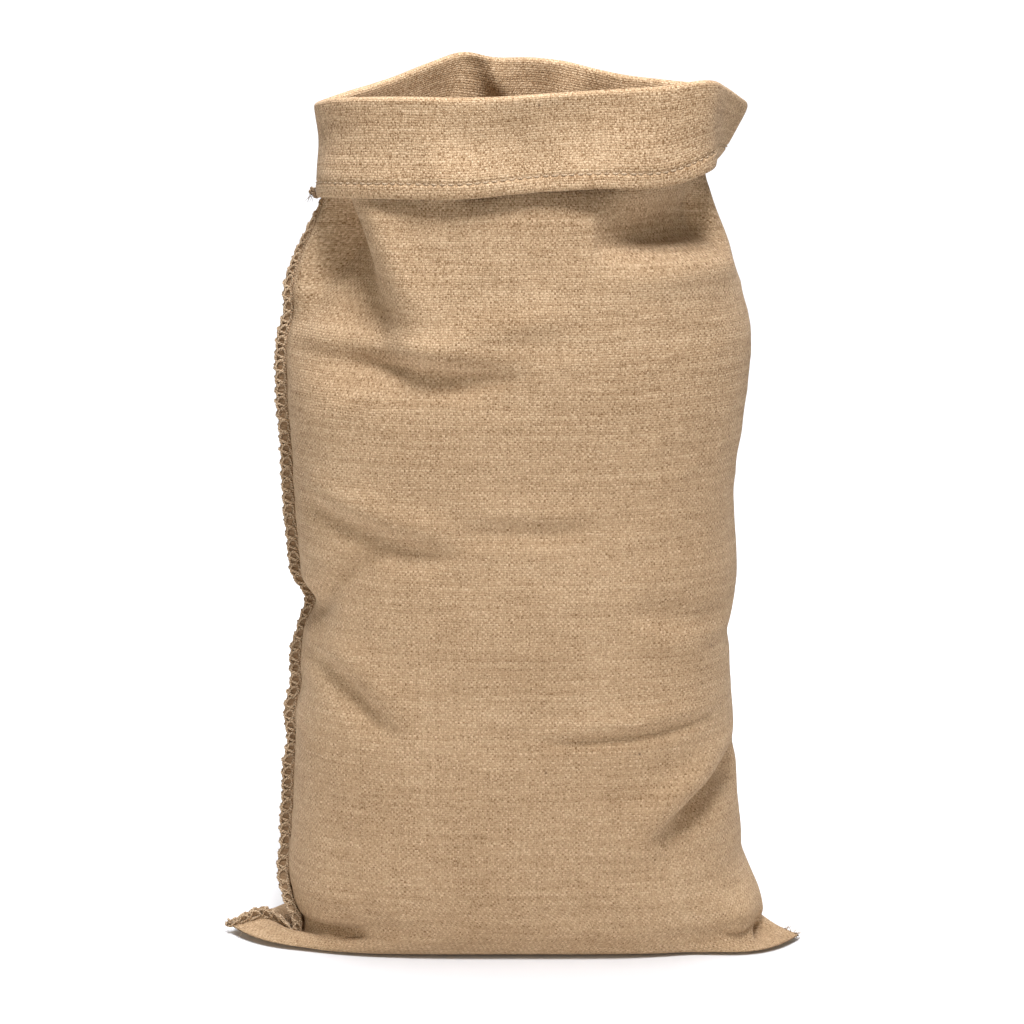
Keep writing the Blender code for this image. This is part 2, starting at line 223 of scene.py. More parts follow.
def bell(value: Array, width: Array | float) -> Array:
    """1 at zero, falling away over the width."""
    return np.exp(-(value / width) ** 2)


def unit(vectors: Array) -> Array:
    """The vectors, each scaled to length 1."""
    return vectors / np.maximum(np.linalg.norm(vectors, axis=-1, keepdims=True), 1e-12)


def run_along(path: Array) -> Array:
    """The length along a path at each of its points, from zero."""
    return np.concatenate(((0.0,), np.cumsum(np.linalg.norm(np.diff(path, axis=0), axis=1))))


def read_at(runs: Array, known: Array, vectors: Array) -> Array:
    """Vectors at given lengths along a path, straight between the known ones."""
    return np.stack([np.interp(runs, known, vectors[:, k]) for k in range(3)], axis=-1)


def put_in(name: str, data: bpy.types.ID) -> bpy.types.Object:
    """Make an object of a mesh, a light or a camera and put it in the scene."""
    thing = bpy.data.objects.new(name, data)
    bpy.context.scene.collection.objects.link(thing)
    return thing


@dataclass
class Waves:
    """Smooth unevenness in space: a sum of sine waves that run in random directions."""

    seed: int
    count: int
    shortest: float
    longest: float

    def at(self, points: Array) -> Array:
        """Value about -1 to 1 at each point.

        Args:
            points: Places, (..., 3).

        Returns:
            Values of shape (...).
        """
        rng = np.random.default_rng(self.seed)
        lengths = np.exp(rng.uniform(np.log(self.shortest), np.log(self.longest), self.count))
        ways = unit(rng.normal(size=(self.count, 3)) * (1.0, 0.7, 1.3))
        phases = rng.uniform(0.0, 2.0 * np.pi, self.count)
        weight = lengths / np.sqrt(np.sum(lengths ** 2) / 2.0)
        angle = points @ (ways * (2.0 * np.pi / lengths)[:, None]).T + phases
        return np.sin(angle) @ weight


# ---------------------------------------------------------------- the shape of the cloth
@dataclass
class SackShape:
    """The cloth's two faces as functions of level (up) and turn (round).

    A ring's plan is |x/reach|^square + |y/depth|^round = 1, spaced by length along it. Folds
    push it along its own level outward direction. At the rim the cloth rolls over a half
    circle and comes down as the cuff.
    """

    cloth: float = 0.0020
    roll: float = 0.0038
    hem_depth: float = 0.0155
    ear_short: float = 0.025
    groove_depth: float = 0.0025
    groove_width: float = 0.010
    centre_y: float = 0.0003
    end_reach: float = 0.11
    right_ear_forward: float = 0.044
    left_ear_forward: float = 0.020
    coil_forward: float = 0.036
    coil_level: float = 4.1
    bulge_forward: float = 0.014
    bulge_level: float = 5.4
    look_aside: float = 0.022
    rim_height: float = 0.900
    foot_reach: float = 0.297
    edge_off_floor: float = 0.0032
    broad_wrinkle: float = 0.0016
    short_wrinkle: float = 0.0007
    cuff_ripple: float = 0.0027
    hem_proud: float = 0.0009
    hem_inward: float = 0.0016
    hem_rounding: float = 0.0011
    hem_edge: float = 0.0035
    stitch_groove: float = 0.0024
    stitch_groove_width: float = 0.0018
    stitch_groove_lower: float = 0.0005
    lip_share: float = 0.88
    plan_samples: int = 361
    coarse: Waves = field(default_factory=lambda: Waves(11, 26, 0.13, 0.34))
    fine: Waves = field(default_factory=lambda: Waves(12, 60, 0.035, 0.10))
    ripple: Waves = field(default_factory=lambda: Waves(13, 30, 0.05, 0.16))

    @property
    def top_level(self) -> float:
        """The level just under the rim's roll."""
        return float(len(RINGS) - 1)

    def ring(self, name: str, level: Array) -> Array:
        """One column of the ring table at any level; lengths in metres."""
        scale = 1.0 if name in ("turn", "square", "round") else MM
        values = [getattr(ring, name) for ring in RINGS]
        return smooth_curve(np.arange(len(RINGS)), values, level) * scale

    def level_of(self, height: Array) -> Array:
        """The level whose middle stands at a height."""
        mids = [ring.mid * MM for ring in RINGS]
        return np.interp(height, mids, np.arange(len(mids)))

    def mouth(self, name: str, turns: Array) -> Array:
        """One column of the mouth table at any turn, in metres; it closes on itself."""
        knots = np.array([point.turn for point in MOUTH])
        values = np.array([getattr(point, name) for point in MOUTH])
        knots = np.concatenate((knots[-2:] - 1.0, knots, knots[:2] + 1.0))
        values = np.concatenate((values[-2:], values, values[:2]))
        return smooth_curve(knots, values, np.mod(turns, 1.0)) * MM

    def half_plan(self, reach: Array, depth: Array, square: Array, round_: Array,
                  share: Array) -> tuple[Array, Array]:
        """One side of the plan, x = -reach cos(a), y = depth (1 - |cos a|^square)^(1/round).

        Args:
            reach, depth, square, round_: One value for each level.
            share: How far along the side each column lies, 0 at the seam and 1 at the fold.

        Returns:
            x and y, (levels, columns).
        """
        angle = np.linspace(0.0, np.pi, self.plan_samples)[None]
        flat = np.abs(np.cos(angle)) ** square[:, None]
        x = -np.cos(angle) * reach[:, None]
        y = depth[:, None] * np.maximum(1.0 - flat, 0.0) ** (1.0 / round_[:, None])
        run = np.cumsum(np.hypot(np.diff(x), np.diff(y)), axis=1)
        run = np.concatenate((np.zeros((len(x), 1)), run), axis=1)
        run /= run[:, -1:]
        offset = 2.0 * np.arange(len(x))[:, None]
        ask = (offset + np.broadcast_to(share, (len(x), len(share)))).ravel()
        shape = (len(x), len(share))
        known = (run + offset).ravel()
        return (np.interp(ask, known, x.ravel()).reshape(shape),
                np.interp(ask, known, y.ravel()).reshape(shape))

    def plan(self, level: Array, turns: Array, inset: float) -> tuple[Array, Array]:
        """x and y of every column of every ring, drawn in by the inset.

        Args:
            level: (levels,).
            turns: (columns,).
            inset: 0 for the outer face, the cloth's thickness for the inner one.

        Returns:
            x and y, (levels, columns).
        """
        left = self.ring("left", level) + inset
        right = self.ring("right", level) - inset
        reach, middle = (right - left) / 2.0, (right + left) / 2.0
        square, round_ = self.ring("square", level), self.ring("round", level)
        turns = np.mod(turns, 1.0)
        front = turns <= 0.5
        share = np.where(front, 2.0 * turns, 2.0 * (1.0 - turns))
        fx, fy = self.half_plan(reach, self.ring("front", level) + inset, square, round_, share)
        bx, by = self.half_plan(reach, self.ring("back", level) - inset, square, round_, share)
        return np.where(front, fx, bx) + middle[:, None], np.where(front, fy, by)

    def away(self, level: Array, turns: Array) -> Array:
        """Level outward direction, square to the plan's chord either side of each column."""
        ax, ay = self.plan(level, turns + self.look_aside, 0.0)
        bx, by = self.plan(level, turns - self.look_aside, 0.0)
        return unit(np.stack((ay - by, bx - ax, np.zeros_like(ax)), axis=-1))

    def bare_wall(self, level: Array, turns: Array, inset: float) -> Array:
        """The wall before its folds: the plan, lifted to the rings' heights at both sides.

        Args:
            level, turns, inset: As for the plan.

        Returns:
            Points, (levels, columns, 3).
        """
        x, y = self.plan(level, turns, inset)
        mid = self.ring("mid", level)
        left_z, right_z = self.ring("left_z", level), self.ring("right_z", level)
        if inset:
            low = 0.5 * (1.0 - ramp(mid, 0.03, 0.09))
            left_z = left_z - low * np.maximum(left_z - inset, 0.0)
            right_z = right_z - low * np.maximum(right_z - inset, 0.0)
            mid = np.maximum(mid, inset)
        left, right = self.ring("left", level) + inset, self.ring("right", level) - inset
        to_left = 1.0 - ramp(x - left[:, None], 0.0, self.end_reach)
        to_right = 1.0 - ramp(right[:, None] - x, 0.0, self.end_reach)
        z = mid[:, None] + (left_z - mid)[:, None] * to_left + (right_z - mid)[:, None] * to_right
        rise = self.mouth("rim", turns)[None] - self.rim_height
        rise = rise * ramp(mid, 0.70, 0.892)[:, None]
        return np.stack((x, y, z + rise), axis=-1)

    def crease_push(self, points: Array) -> Array:
        """How far the placed folds push each point: across each line, a bell-shaped trough
        and a bell-shaped ridge, tapered to nothing at the line's two ends.

        Args:
            points: The bare wall, (levels, columns, 3).

        Returns:
            Metres outwards, (levels, columns).
        """
        push = np.zeros(points.shape[:-1])
        flat = points[..., (0, 2)] / MM
        for crease in CREASES:
            start, end = np.array((crease.x0, crease.z0)), np.array((crease.x1, crease.z1))
            length = float(np.linalg.norm(end - start))
            along = (end - start) / length
            t = (flat - start) @ along / length
            inside = np.clip(t, 0.0, 1.0)
            across = (flat - start) @ np.array((-along[1], along[0]))
            across = across - crease.bend * 4.0 * inside * (1.0 - inside)
            towards = np.sign(crease.ridge_shift) * across > 0.0
            width = crease.trough_width * np.where(towards, crease.sharp, 1.0)
            width = width * (1.0 - crease.taper * (1.0 - inside))
            window = np.sin(np.pi * inside) ** 0.7
            shape = (crease.ridge * bell(across - crease.ridge_shift, crease.ridge_width)
                     - crease.trough * bell(across, width))
            fade = 1.0 - ramp(points[..., 2], 0.82, 0.88) * (crease.side < 0)
            push += window * shape * fade * ramp(points[..., 1] / MM * crease.side, 8.0, 44.0)
        return push * MM

    def notch_push(self, points: Array) -> Array:
        """How far the pinches at the two sides push each point.

        Args:
            points: The bare wall, (levels, columns, 3).

        Returns:
            Metres outwards, (levels, columns).
        """
        push = np.zeros(points.shape[:-1])
        x = points[..., 0]
        left, right = x.min(axis=1, keepdims=True), x.max(axis=1, keepdims=True)
        for notch in NOTCHES:
            gap = x - left if notch.side < 0 else right - x
            push -= ((1.0 - ramp(gap, 0.0, 0.05)) * notch.depth * MM
                     * bell(points[..., 2] / MM - notch.z, notch.spread))
        return push

    def wrinkle_push(self, points: Array) -> Array:
        """Unplaced unevenness: broad waves, and short ones folded into faint creases."""
        broad = self.broad_wrinkle * self.coarse.at(points)
        short = self.short_wrinkle * (0.5 - np.abs(self.fine.at(points)))
        calm = ramp(points[..., 2], 0.012, 0.05) * (1.0 - ramp(points[..., 2], 0.84, 0.88))
        return (broad + short) * calm

    def edge_lift(self, x: Array) -> Array:
        """How far the foot's front and back edges stand off the floor between the ears."""
        return self.edge_off_floor * (1.0 - ramp(np.abs(x), 0.20, 0.27))

    def swing(self, x: Array) -> Array:
        """How far forward the two ears are turned."""
        return (self.right_ear_forward * ramp(x, 0.17, self.foot_reach)
                + self.left_ear_forward * ramp(-x, 0.20, self.foot_reach))

    def wall(self, level: Array, turns: Array, inset: float) -> Array:
        """The wall with its folds, without the seam's lip.

        Args:
            level, turns, inset: As for the plan.

        Returns:
            Points, (levels, columns, 3).
        """
        outer = self.bare_wall(level, turns, 0.0)
        push = self.crease_push(outer) + self.notch_push(outer) + self.wrinkle_push(outer)
        push += self.mouth("wave", turns)[None] * ramp(outer[..., 2], 0.79, 0.88)
        push *= ramp(level, 0.0, 3.0)[:, None]
        points = outer if not inset else self.bare_wall(level, turns, inset)
        points = points + push[..., None] * self.away(level, turns)
        if inset:
            share = 1.0 - ramp(level, 2.5, 6.5)
            points[..., 0] *= (1.0 - share * self.ear_short / self.foot_reach)[:, None]
        low = 1.0 - ramp(points[..., 2], 0.02, 0.09)
        reach = points[..., 0] - points[..., 0].min(axis=1, keepdims=True)
        coil = bell(level - self.coil_level, 1.5)[:, None] * (1.0 - ramp(reach, 0.01, 0.07))
        reach = points[..., 0].max(axis=1, keepdims=True) - points[..., 0]
        bulge = bell(level - self.bulge_level, 1.3)[:, None] * (1.0 - ramp(reach, 0.0, 0.05))
        points[..., 1] -= (self.centre_y + self.swing(points[..., 0]) * low
                           + self.coil_forward * coil + self.bulge_forward * bulge)
        points[..., 2] += self.edge_lift(points[..., 0]) * (1.0 - ramp(level, 0.0, 4.0))[:, None]
        return points

    def foot(self, outline: Array, steps: Array) -> Array:
        """The flat foot: the outline drawn in to the seam line, raised there into a groove.

        Args:
            outline: The wall's lowest ring, (columns, 3).
            steps: Share of the way out from the seam line, (rings,).

        Returns:
            Points, (rings, columns, 3).
        """
        rings = np.repeat(outline[None], len(steps), axis=0)
        line = self.centre_y + self.swing(outline[:, 0])
        rings[..., 1] = (rings[..., 1] + line) * steps[:, None] - line
        groove = self.groove_depth * bell(rings[..., 1] + line, self.groove_width)
        rings[..., 2] += groove * (1.0 - ramp(np.abs(outline[:, 0]), 0.22, 0.27))[None]
        rings[..., 2] -= self.edge_lift(outline[:, 0]) * (1.0 - ramp(steps, 0.75, 1.0))[:, None]
        return rings

    def rim(self, turns: Array) -> tuple[Array, Array]:
        """The wall's last ring and its outward directions, (columns, 3) each."""
        level = np.array((self.top_level,))
        return self.wall(level, turns, 0.0)[0], self.away(level, turns)[0]

    def rolled(self, turns: Array, angles: Array, face: int) -> Array:
        """The half circle over the rim; face 0 lies inside the roll and 1 over it."""
        top, away = self.rim(turns)
        radius = self.roll + self.cloth * face
        arc = np.sin(angles)[:, None, None] * UP - np.cos(angles)[:, None, None] * away
        return top + away * self.roll + radius * arc

    def cuff_length(self, turns: Array) -> Array:
        """How far the cuff hangs below the roll's centre."""
        return self.mouth("drop", turns) - self.roll

    def cuff(self, turns: Array, down: Array, face: int) -> Array:
        """The cuff at given distances below the roll's centre.

        Args:
            turns: (columns,).
            down: (rows, columns), from 0 to the cuff's length.
            face: 0 towards the neck, 1 the side seen.

        Returns:
            Points, (rows, columns, 3).
        """
        top, away = self.rim(turns)
        length = self.cuff_length(turns)[None]
        step = np.clip(down / length, 0.0, 1.0)
        spread = self.roll + self.cloth * face + self.mouth("gap", turns)[None] * step ** 1.3
        base = top + away * self.roll
        rough = base[None] - down[..., None] * UP
        ripple = self.cuff_ripple * self.ripple.at(rough) * np.sin(np.pi * step) ** 0.5
        spread = spread + ripple + self.hem_swell(length - down, face)
        return base[None] + spread[..., None] * away[None] - down[..., None] * UP

    def hem_swell(self, above_edge: Array, face: int) -> Array:
        """The doubled hem: thicker towards the neck; on the side seen, a little proud with a
        groove where the stitches pull it in and a rounded edge.

        Args:
            above_edge: Height above the cuff's lower edge.
            face: 0 towards the neck, 1 the side seen.

        Returns:
            How far each place stands out, shaped like above_edge.
        """
        doubled = 1.0 - ramp(above_edge, self.hem_depth * 0.95, self.hem_depth * 1.35)
        rounding = self.hem_rounding * (1.0 - ramp(above_edge, 0.0, self.hem_edge))
        if not face:
            return rounding - self.hem_inward * doubled
        groove_line = self.hem_depth - self.stitch_groove_lower
        groove = self.stitch_groove * bell(above_edge - groove_line, self.stitch_groove_width)
        return self.hem_proud * doubled - groove - rounding

    def lip_frame(self, level: Array) -> tuple[Array, Array, Array]:
        """The side seam's lip: its root line, its direction and its width at each level."""
        root = self.wall(level, np.array((0.0,)), 0.0)[:, 0]
        turn = np.radians(self.ring("turn", level))
        way = np.stack((-np.cos(turn), np.zeros_like(turn), np.sin(turn)), axis=-1)
        return root, way, self.ring("lip", level) * self.lip_share


# ---------------------------------------------------------------- meshes
@dataclass
class MeshData:
    """Vertices, quads and corner UVs, gathered as whole arrays and put in at once."""

    points: list[Array] = field(default_factory=list)
    quads: list[Array] = field(default_factory=list)
    uvs: list[Array] = field(default_factory=list)
    tones: list[Array] = field(default_factory=list)
    count: int = 0
    weld: float = 0.00001
    sliver: float = 0.000005

    def add_points(self, points: Array, tone: Array | float = 0.0) -> int:
        """Append vertices with their tone; returns the first one's number."""
        flat = points.reshape(-1, 3)
        self.points.append(flat)
        self.tones.append(np.broadcast_to(tone, points.shape[:-1]).reshape(-1).astype(float))
        start, self.count = self.count, self.count + len(flat)
        return start

    def add_quads(self, corners: Array, uv: Array, flip: bool) -> None:
        """Append quads (n, 4) with their corner UVs (n, 4, 2); flip turns them over."""
        if flip:
            corners, uv = corners[:, ::-1], uv[:, ::-1]
        self.quads.append(corners)
        self.uvs.append(uv)

    def add_sheet(self, points: Array, uv: Array, flip: bool = False,
                  tone: Array | float = 0.0) -> int:
        """A grid closed round its columns.

        Args:
            points: (rows, columns, 3).
            uv: (rows, columns + 1, 2); its last column is the first one met again.
            flip: Turn the faces over.
            tone: One value for each point.

        Returns:
            The number of the first vertex.
        """
        rows, columns = points.shape[:2]
        start = self.add_points(points, tone)
        index = start + np.arange(rows * columns).reshape(rows, columns)
        index = np.concatenate((index, index[:, :1]), axis=1)
        self.add_quads(self.corners(index).reshape(-1, 4), self.corners(uv).reshape(-1, 4, 2),
                       flip)
        return start

    @staticmethod
    def corners(grid: Array) -> Array:
        """The four corners of every cell of a grid, counter-clockwise."""
        cells = (grid[:-1, :-1], grid[:-1, 1:], grid[1:, 1:], grid[1:, :-1])
        return np.stack(cells, axis=2)

    def add_tubes(self, paths: Array, radii: Array | float, sides: int, beside: Array,
                  tone: Array | float = 0.0) -> None:
        """Round rods along paths, each end closed in a point.

        A ring of each rod is path + radius (cos a across + sin a over), with across and over
        square to the path.

        Args:
            paths: (rods, steps, 3).
            radii: Broadcasts to (rods, steps).
            sides: Corners of a ring.
            beside: A direction never along the path; broadcasts to the paths' shape.
            tone: Broadcasts to (rods,).
        """
        rods, steps = paths.shape[:2]
        radius = np.broadcast_to(radii, (rods, steps)).astype(float)
        tangent = unit(np.gradient(paths, axis=1))
        across = unit(np.cross(tangent, np.broadcast_to(beside, tangent.shape)))
        over = np.cross(across, tangent)
        angle = -2.0 * np.pi * np.arange(sides) / sides
        ring = (np.cos(angle)[:, None] * across[:, :, None]
                + np.sin(angle)[:, None] * over[:, :, None])
        body = paths[:, :, None] + radius[:, :, None, None] * ring
        ends = [np.repeat(paths[:, k, None, None], sides, axis=2) for k in (0, -1)]
        body = np.concatenate((ends[0], body, ends[1]), axis=1)
        run = np.concatenate((np.zeros((rods, 1)), np.cumsum(
            np.linalg.norm(np.diff(paths, axis=1), axis=2), axis=1)), axis=1)
        run = np.concatenate((run[:, :1], run, run[:, -1:]), axis=1)
        shade = np.broadcast_to(tone, (rods,)).astype(float)
        start = self.add_points(body, shade[:, None, None] * np.ones(body.shape[:3]))
        index = start + np.arange(rods * (steps + 2) * sides).reshape(rods, steps + 2, sides)
        index = np.concatenate((index, index[:, :, :1]), axis=2)
        around = np.broadcast_to(np.arange(sides + 1) / sides, index.shape)
        uv = np.stack((np.broadcast_to(run[:, :, None], index.shape), around), axis=-1)
        low, high = slice(None, -1), slice(1, None)
        corners = ((low, low), (low, high), (high, high), (high, low))
        quads = np.stack([index[:, a, b] for a, b in corners], axis=3).reshape(-1, 4)
        quad_uv = np.stack([uv[:, a, b] for a, b in corners], axis=3).reshape(-1, 4, 2)
        self.add_quads(quads, quad_uv, False)

    def make(self, name: str, material: bpy.types.Material) -> bpy.types.Object:
        """Build the object; doubled points at seams and poles become one.

        Args:
            name: The piece's name.
            material: Its finish.

        Returns:
            The finished object, at the origin.
        """
        mesh = bpy.data.meshes.new(name)
        points, quads = np.concatenate(self.points), np.concatenate(self.quads)
        mesh.from_pydata(points.tolist(), [], quads.tolist())
        layer = mesh.uv_layers.new(name="weave")
        layer.data.foreach_set("uv", np.concatenate(self.uvs).astype(np.float32).ravel())
        # The tone attribute holds the seam lip's painted shade on the cloth, and each thread's
        # tone on the threads.
        tone = mesh.attributes.new("tone", "FLOAT", "POINT")
        tone.data.foreach_set("value", np.concatenate(self.tones).astype(np.float32))
        work = bmesh.new()
        work.from_mesh(mesh)
        bmesh.ops.remove_doubles(work, verts=work.verts, dist=self.weld)
        bmesh.ops.dissolve_degenerate(work, edges=work.edges, dist=self.sliver)
        work.to_mesh(mesh)
        work.free()
        mesh.polygons.foreach_set("use_smooth", [True] * len(mesh.polygons))
        mesh.materials.append(material)
        return put_in(name, mesh)


# ---------------------------------------------------------------- shader graphs
def operation(kind: str, reflected: bool = False) -> Callable[..., "Sock"]:
    """Write one arithmetic method of a shader value.

    Args:
        kind: The Math node's operation.
        reflected: The other value comes first.

    Returns:
        The method, which adds the Math node and gives its output.
    """
    def method(sock: "Sock", *others: "Sock | float") -> "Sock":
        """The operation's result."""
        return sock.graph.maths(kind, *((*others, sock) if reflected else (sock, *others)))
    return method


class Sock:
    """A shader value that ordinary arithmetic works on."""

    def __init__(self, graph: "Graph", socket: bpy.types.NodeSocket) -> None:
        """Wrap one output socket of a graph."""
        self.graph, self.socket = graph, socket

    __add__, __radd__ = operation("ADD"), operation("ADD", True)
    __sub__, __rsub__ = operation("SUBTRACT"), operation("SUBTRACT", True)
    __mul__, __rmul__ = operation("MULTIPLY"), operation("MULTIPLY", True)
    __truediv__, __rtruediv__ = operation("DIVIDE"), operation("DIVIDE", True)
    __pow__, __rpow__ = operation("POWER"), operation("POWER", True)
    __abs__, floor, sine = operation("ABSOLUTE"), operation("FLOOR"), operation("SINE")
    highest = operation("MAXIMUM")

    def over(self, low: float, high: float) -> "Sock":
        """0 below low, 1 above high, eased between."""
        node = self.graph.node("ShaderNodeMapRange", {"interpolation_type": "SMOOTHSTEP"},
                               {"Value": self, "From Min": low, "From Max": high})
        return Sock(self.graph, node.outputs["Result"])


class Graph:
    """Builds one material's nodes."""

    def __init__(self, name: str) -> None:
        """Start a material that has only its Principled shader."""
        self.material = bpy.data.materials.new(name)
        self.material.use_nodes = True
        self.tree = self.material.node_tree
        self.shader = self.tree.nodes["Principled BSDF"]

    def node(self, kind: str, settings: dict[str, Any] | None = None,
             inputs: dict[str | int, Any] | None = None) -> bpy.types.Node:
        """Add a node.

        Args:
            kind: The node's type.
            settings: Attributes, set before the inputs.
            inputs: Values or Socks for its inputs, by name or number.

        Returns:
            The node.
        """
        node = self.tree.nodes.new(kind)
        for key, value in (settings or {}).items():
            setattr(node, key, value)
        for key, value in (inputs or {}).items():
            self.feed(node.inputs[key], value)
        return node

    def feed(self, socket: bpy.types.NodeSocket, value: Any) -> None:
        """Link a Sock to an input, or set its plain value."""
        if isinstance(value, Sock):
            self.tree.links.new(value.socket, socket)
        else:
            socket.default_value = value

    def maths(self, operation: str, *values: Sock | float) -> Sock:
        """One Math node."""
        node = self.node("ShaderNodeMath", {"operation": operation}, dict(enumerate(values)))
        return Sock(self, node.outputs[0])

    def vector(self, x: Sock | float, y: Sock | float, z: Sock | float = 0.0) -> Sock:
        """Three values as one vector."""
        node = self.node("ShaderNodeCombineXYZ", None, {0: x, 1: y, 2: z})
        return Sock(self, node.outputs[0])

    def mix(self, factor: Sock | float, a: Any, b: Any, blend: str = "MIX") -> Sock:
        """Two colours mixed."""
        node = self.node("ShaderNodeMix", {"data_type": "RGBA", "blend_type": blend},
                         {0: factor, 6: a, 7: b})
        return Sock(self, node.outputs[2])

    def noise(self, vector: Sock, scale: float, detail: float = 2.0,
              roughness: float = 0.5) -> Sock:
        """Smooth noise about 0.5."""
        node = self.node("ShaderNodeTexNoise", None, {
            "Vector": vector, "Scale": scale, "Detail": detail, "Roughness": roughness})
        return Sock(self, node.outputs[0])

    def dice(self, x: Sock, y: Sock | float = 0.0) -> Sock:
        """A separate random value from 0 to 1 for each whole x, y."""
        node = self.node("ShaderNodeTexWhiteNoise", {"noise_dimensions": "3D"},
                         {"Vector": self.vector(x, y)})
        return Sock(self, node.outputs[0])

    def uv(self) -> tuple[Sock, Sock]:
        """The piece's own map: along and across."""
        mapped = self.node("ShaderNodeUVMap", {"uv_map": "weave"})
        split = self.node("ShaderNodeSeparateXYZ", None, {0: Sock(self, mapped.outputs[0])})
        return Sock(self, split.outputs[0]), Sock(self, split.outputs[1])

    def tone(self) -> Sock:
        """The piece's tone attribute: painted shade on the cloth's seam lip, own tone on threads.
        """
        node = self.node("ShaderNodeAttribute", {"attribute_name": "tone"})
        return Sock(self, node.outputs["Fac"])

    def place(self) -> Sock:
        """Where the point is on the object."""
        return Sock(self, self.node("ShaderNodeTexCoord").outputs["Object"])

    def finish(self, colour: Sock, roughness: Sock | float, bumps: Sequence[tuple[Sock, float]],
               sheen: float) -> bpy.types.Material:
        """Wire the shader.

        Args:
            colour: Base colour.
            roughness: A value or a Sock.
            bumps: Heights in metres with their strengths.
            sheen: Weight of the fuzz's sheen.

        Returns:
            The material.
        """
        for name, value in (("Base Color", colour), ("Roughness", roughness),
                            ("Specular IOR Level", 0.25), ("Sheen Weight", sheen),
                            ("Sheen Roughness", 0.6)):
            self.feed(self.shader.inputs[name], value)
        normal: Sock | None = None
        for height, strength in bumps:
            inputs: dict[str | int, Any] = {"Height": height, "Strength": strength,
                                            "Distance": 1.0}
            if normal is not None:
                inputs["Normal"] = normal
            normal = Sock(self, self.node("ShaderNodeBump", None, inputs).outputs[0])
        if normal is not None:
            self.feed(self.shader.inputs["Normal"], normal)
        return self.material


@dataclass(frozen=True)
class BurlapFinish:
    """Plain-weave jute: uneven yarns, streaky weft, slubs, dark flecks; painted shade in
    pinholes.
    """

    warp_pitch: float = 0.0026
    weft_pitch: float = 0.0025
    relief: float = 0.0007
    light: Colour = (0.68, 0.488, 0.305, 1.0)
    base: Colour = (0.470, 0.310, 0.173, 1.0)
    dark: Colour = (0.215, 0.118, 0.050, 1.0)
    # fleck is also the colour that the seam lip's painted shade is mixed towards.
    fleck: Colour = (0.13, 0.07, 0.035, 1.0)

    def build(self) -> bpy.types.Material:
        """Make the burlap.

        Warp and weft threads are sines of the weave's two coordinates; which one is on top
        changes from crossing to crossing with the sign of their product.

        Returns:
            The material.
        """
        graph = Graph("burlap")
        u, v = graph.uv()
        place = graph.place()
        jitter = graph.noise(place, 330.0, 1.0) - 0.5
        a = u / self.warp_pitch + (graph.noise(place, 38.0, 2.0) - 0.5) * 1.6 + jitter * 0.7
        b = v / self.weft_pitch + (graph.noise(place, 31.0, 2.0) - 0.5) * 1.6 + jitter * 0.5
        warp, weft = (a * np.pi).sine(), (b * np.pi).sine()
        cross = warp * weft
        warp_high = (abs(warp) ** 0.6 * 0.6 + 0.4) * (0.43 - cross * 0.50)
        weft_high = (abs(weft) ** 0.7 * 0.6 + 0.4) * (0.61 + cross * 0.47)
        height = warp_high.highest(weft_high)
        on_weft = (weft_high - warp_high).over(-0.15, 0.15)
        i, j = a.floor(), b.floor()
        weft_tone = (graph.noise(graph.vector(u * 560.0, j * 5.31), 1.0, 1.0)
                     + (graph.dice(j) - 0.5) * 0.10)
        warp_tone = (graph.noise(graph.vector(i * 5.77, v * 560.0), 1.0, 1.0)
                     + (graph.dice(i, 7.0) - 0.5) * 0.08)
        tone = warp_tone + (weft_tone - warp_tone) * on_weft
        streak = graph.noise(graph.vector(u * 12.0, v * 150.0), 1.0, 1.0)
        speckle = graph.noise(place, 950.0, 1.0)
        cloudy = graph.noise(place, 8.0, 3.0)
        bold = v.over(0.25, 1.0) * 0.55 + 0.80
        # The on_weft term of shade is painted light and shade: weft floats lighter, the warp
        # under them darker.
        shade = ((tone - 0.5) * bold * 1.35 + (streak - 0.5) * bold * 0.30
                 + (cloudy - 0.5) * 0.26 + (speckle - 0.5) * bold * 0.75
                 + (on_weft - 0.5) * 0.15 + 0.52)
        colour = graph.mix(shade.over(0.12, 0.52), self.dark, self.base)
        colour = graph.mix(shade.over(0.50, 0.88), colour, self.light)
        ragged = graph.noise(place, 900.0, 1.0)
        # Painted shade in the low places between the yarns, the pinholes, broken up by noise.
        painted_pinhole_shade = (1.0 - height.over(0.22, 0.48)) * ragged.over(0.30, 0.62)
        colour = graph.mix(painted_pinhole_shade * bold * 0.55, colour, self.dark)
        gather = graph.noise(graph.vector(u * 22.0, v * 60.0), 1.0, 2.0)
        fleck = (graph.dice(i, j + 311.0) + gather * 0.34).over(1.222, 1.235)
        colour = graph.mix(fleck * 0.80, colour, self.fleck)
        # Painted shade: the tone attribute darkens the seam lip's recesses towards the fleck
        # colour.
        colour = graph.mix(graph.tone(), colour, self.fleck)
        fuzz = graph.noise(place, 1400.0, 2.0)
        return graph.finish(colour, 0.92, (
            (height * self.relief + tone * (0.6 * self.relief), 0.9),
            (fuzz * 0.0003, 0.5)), 0.05)


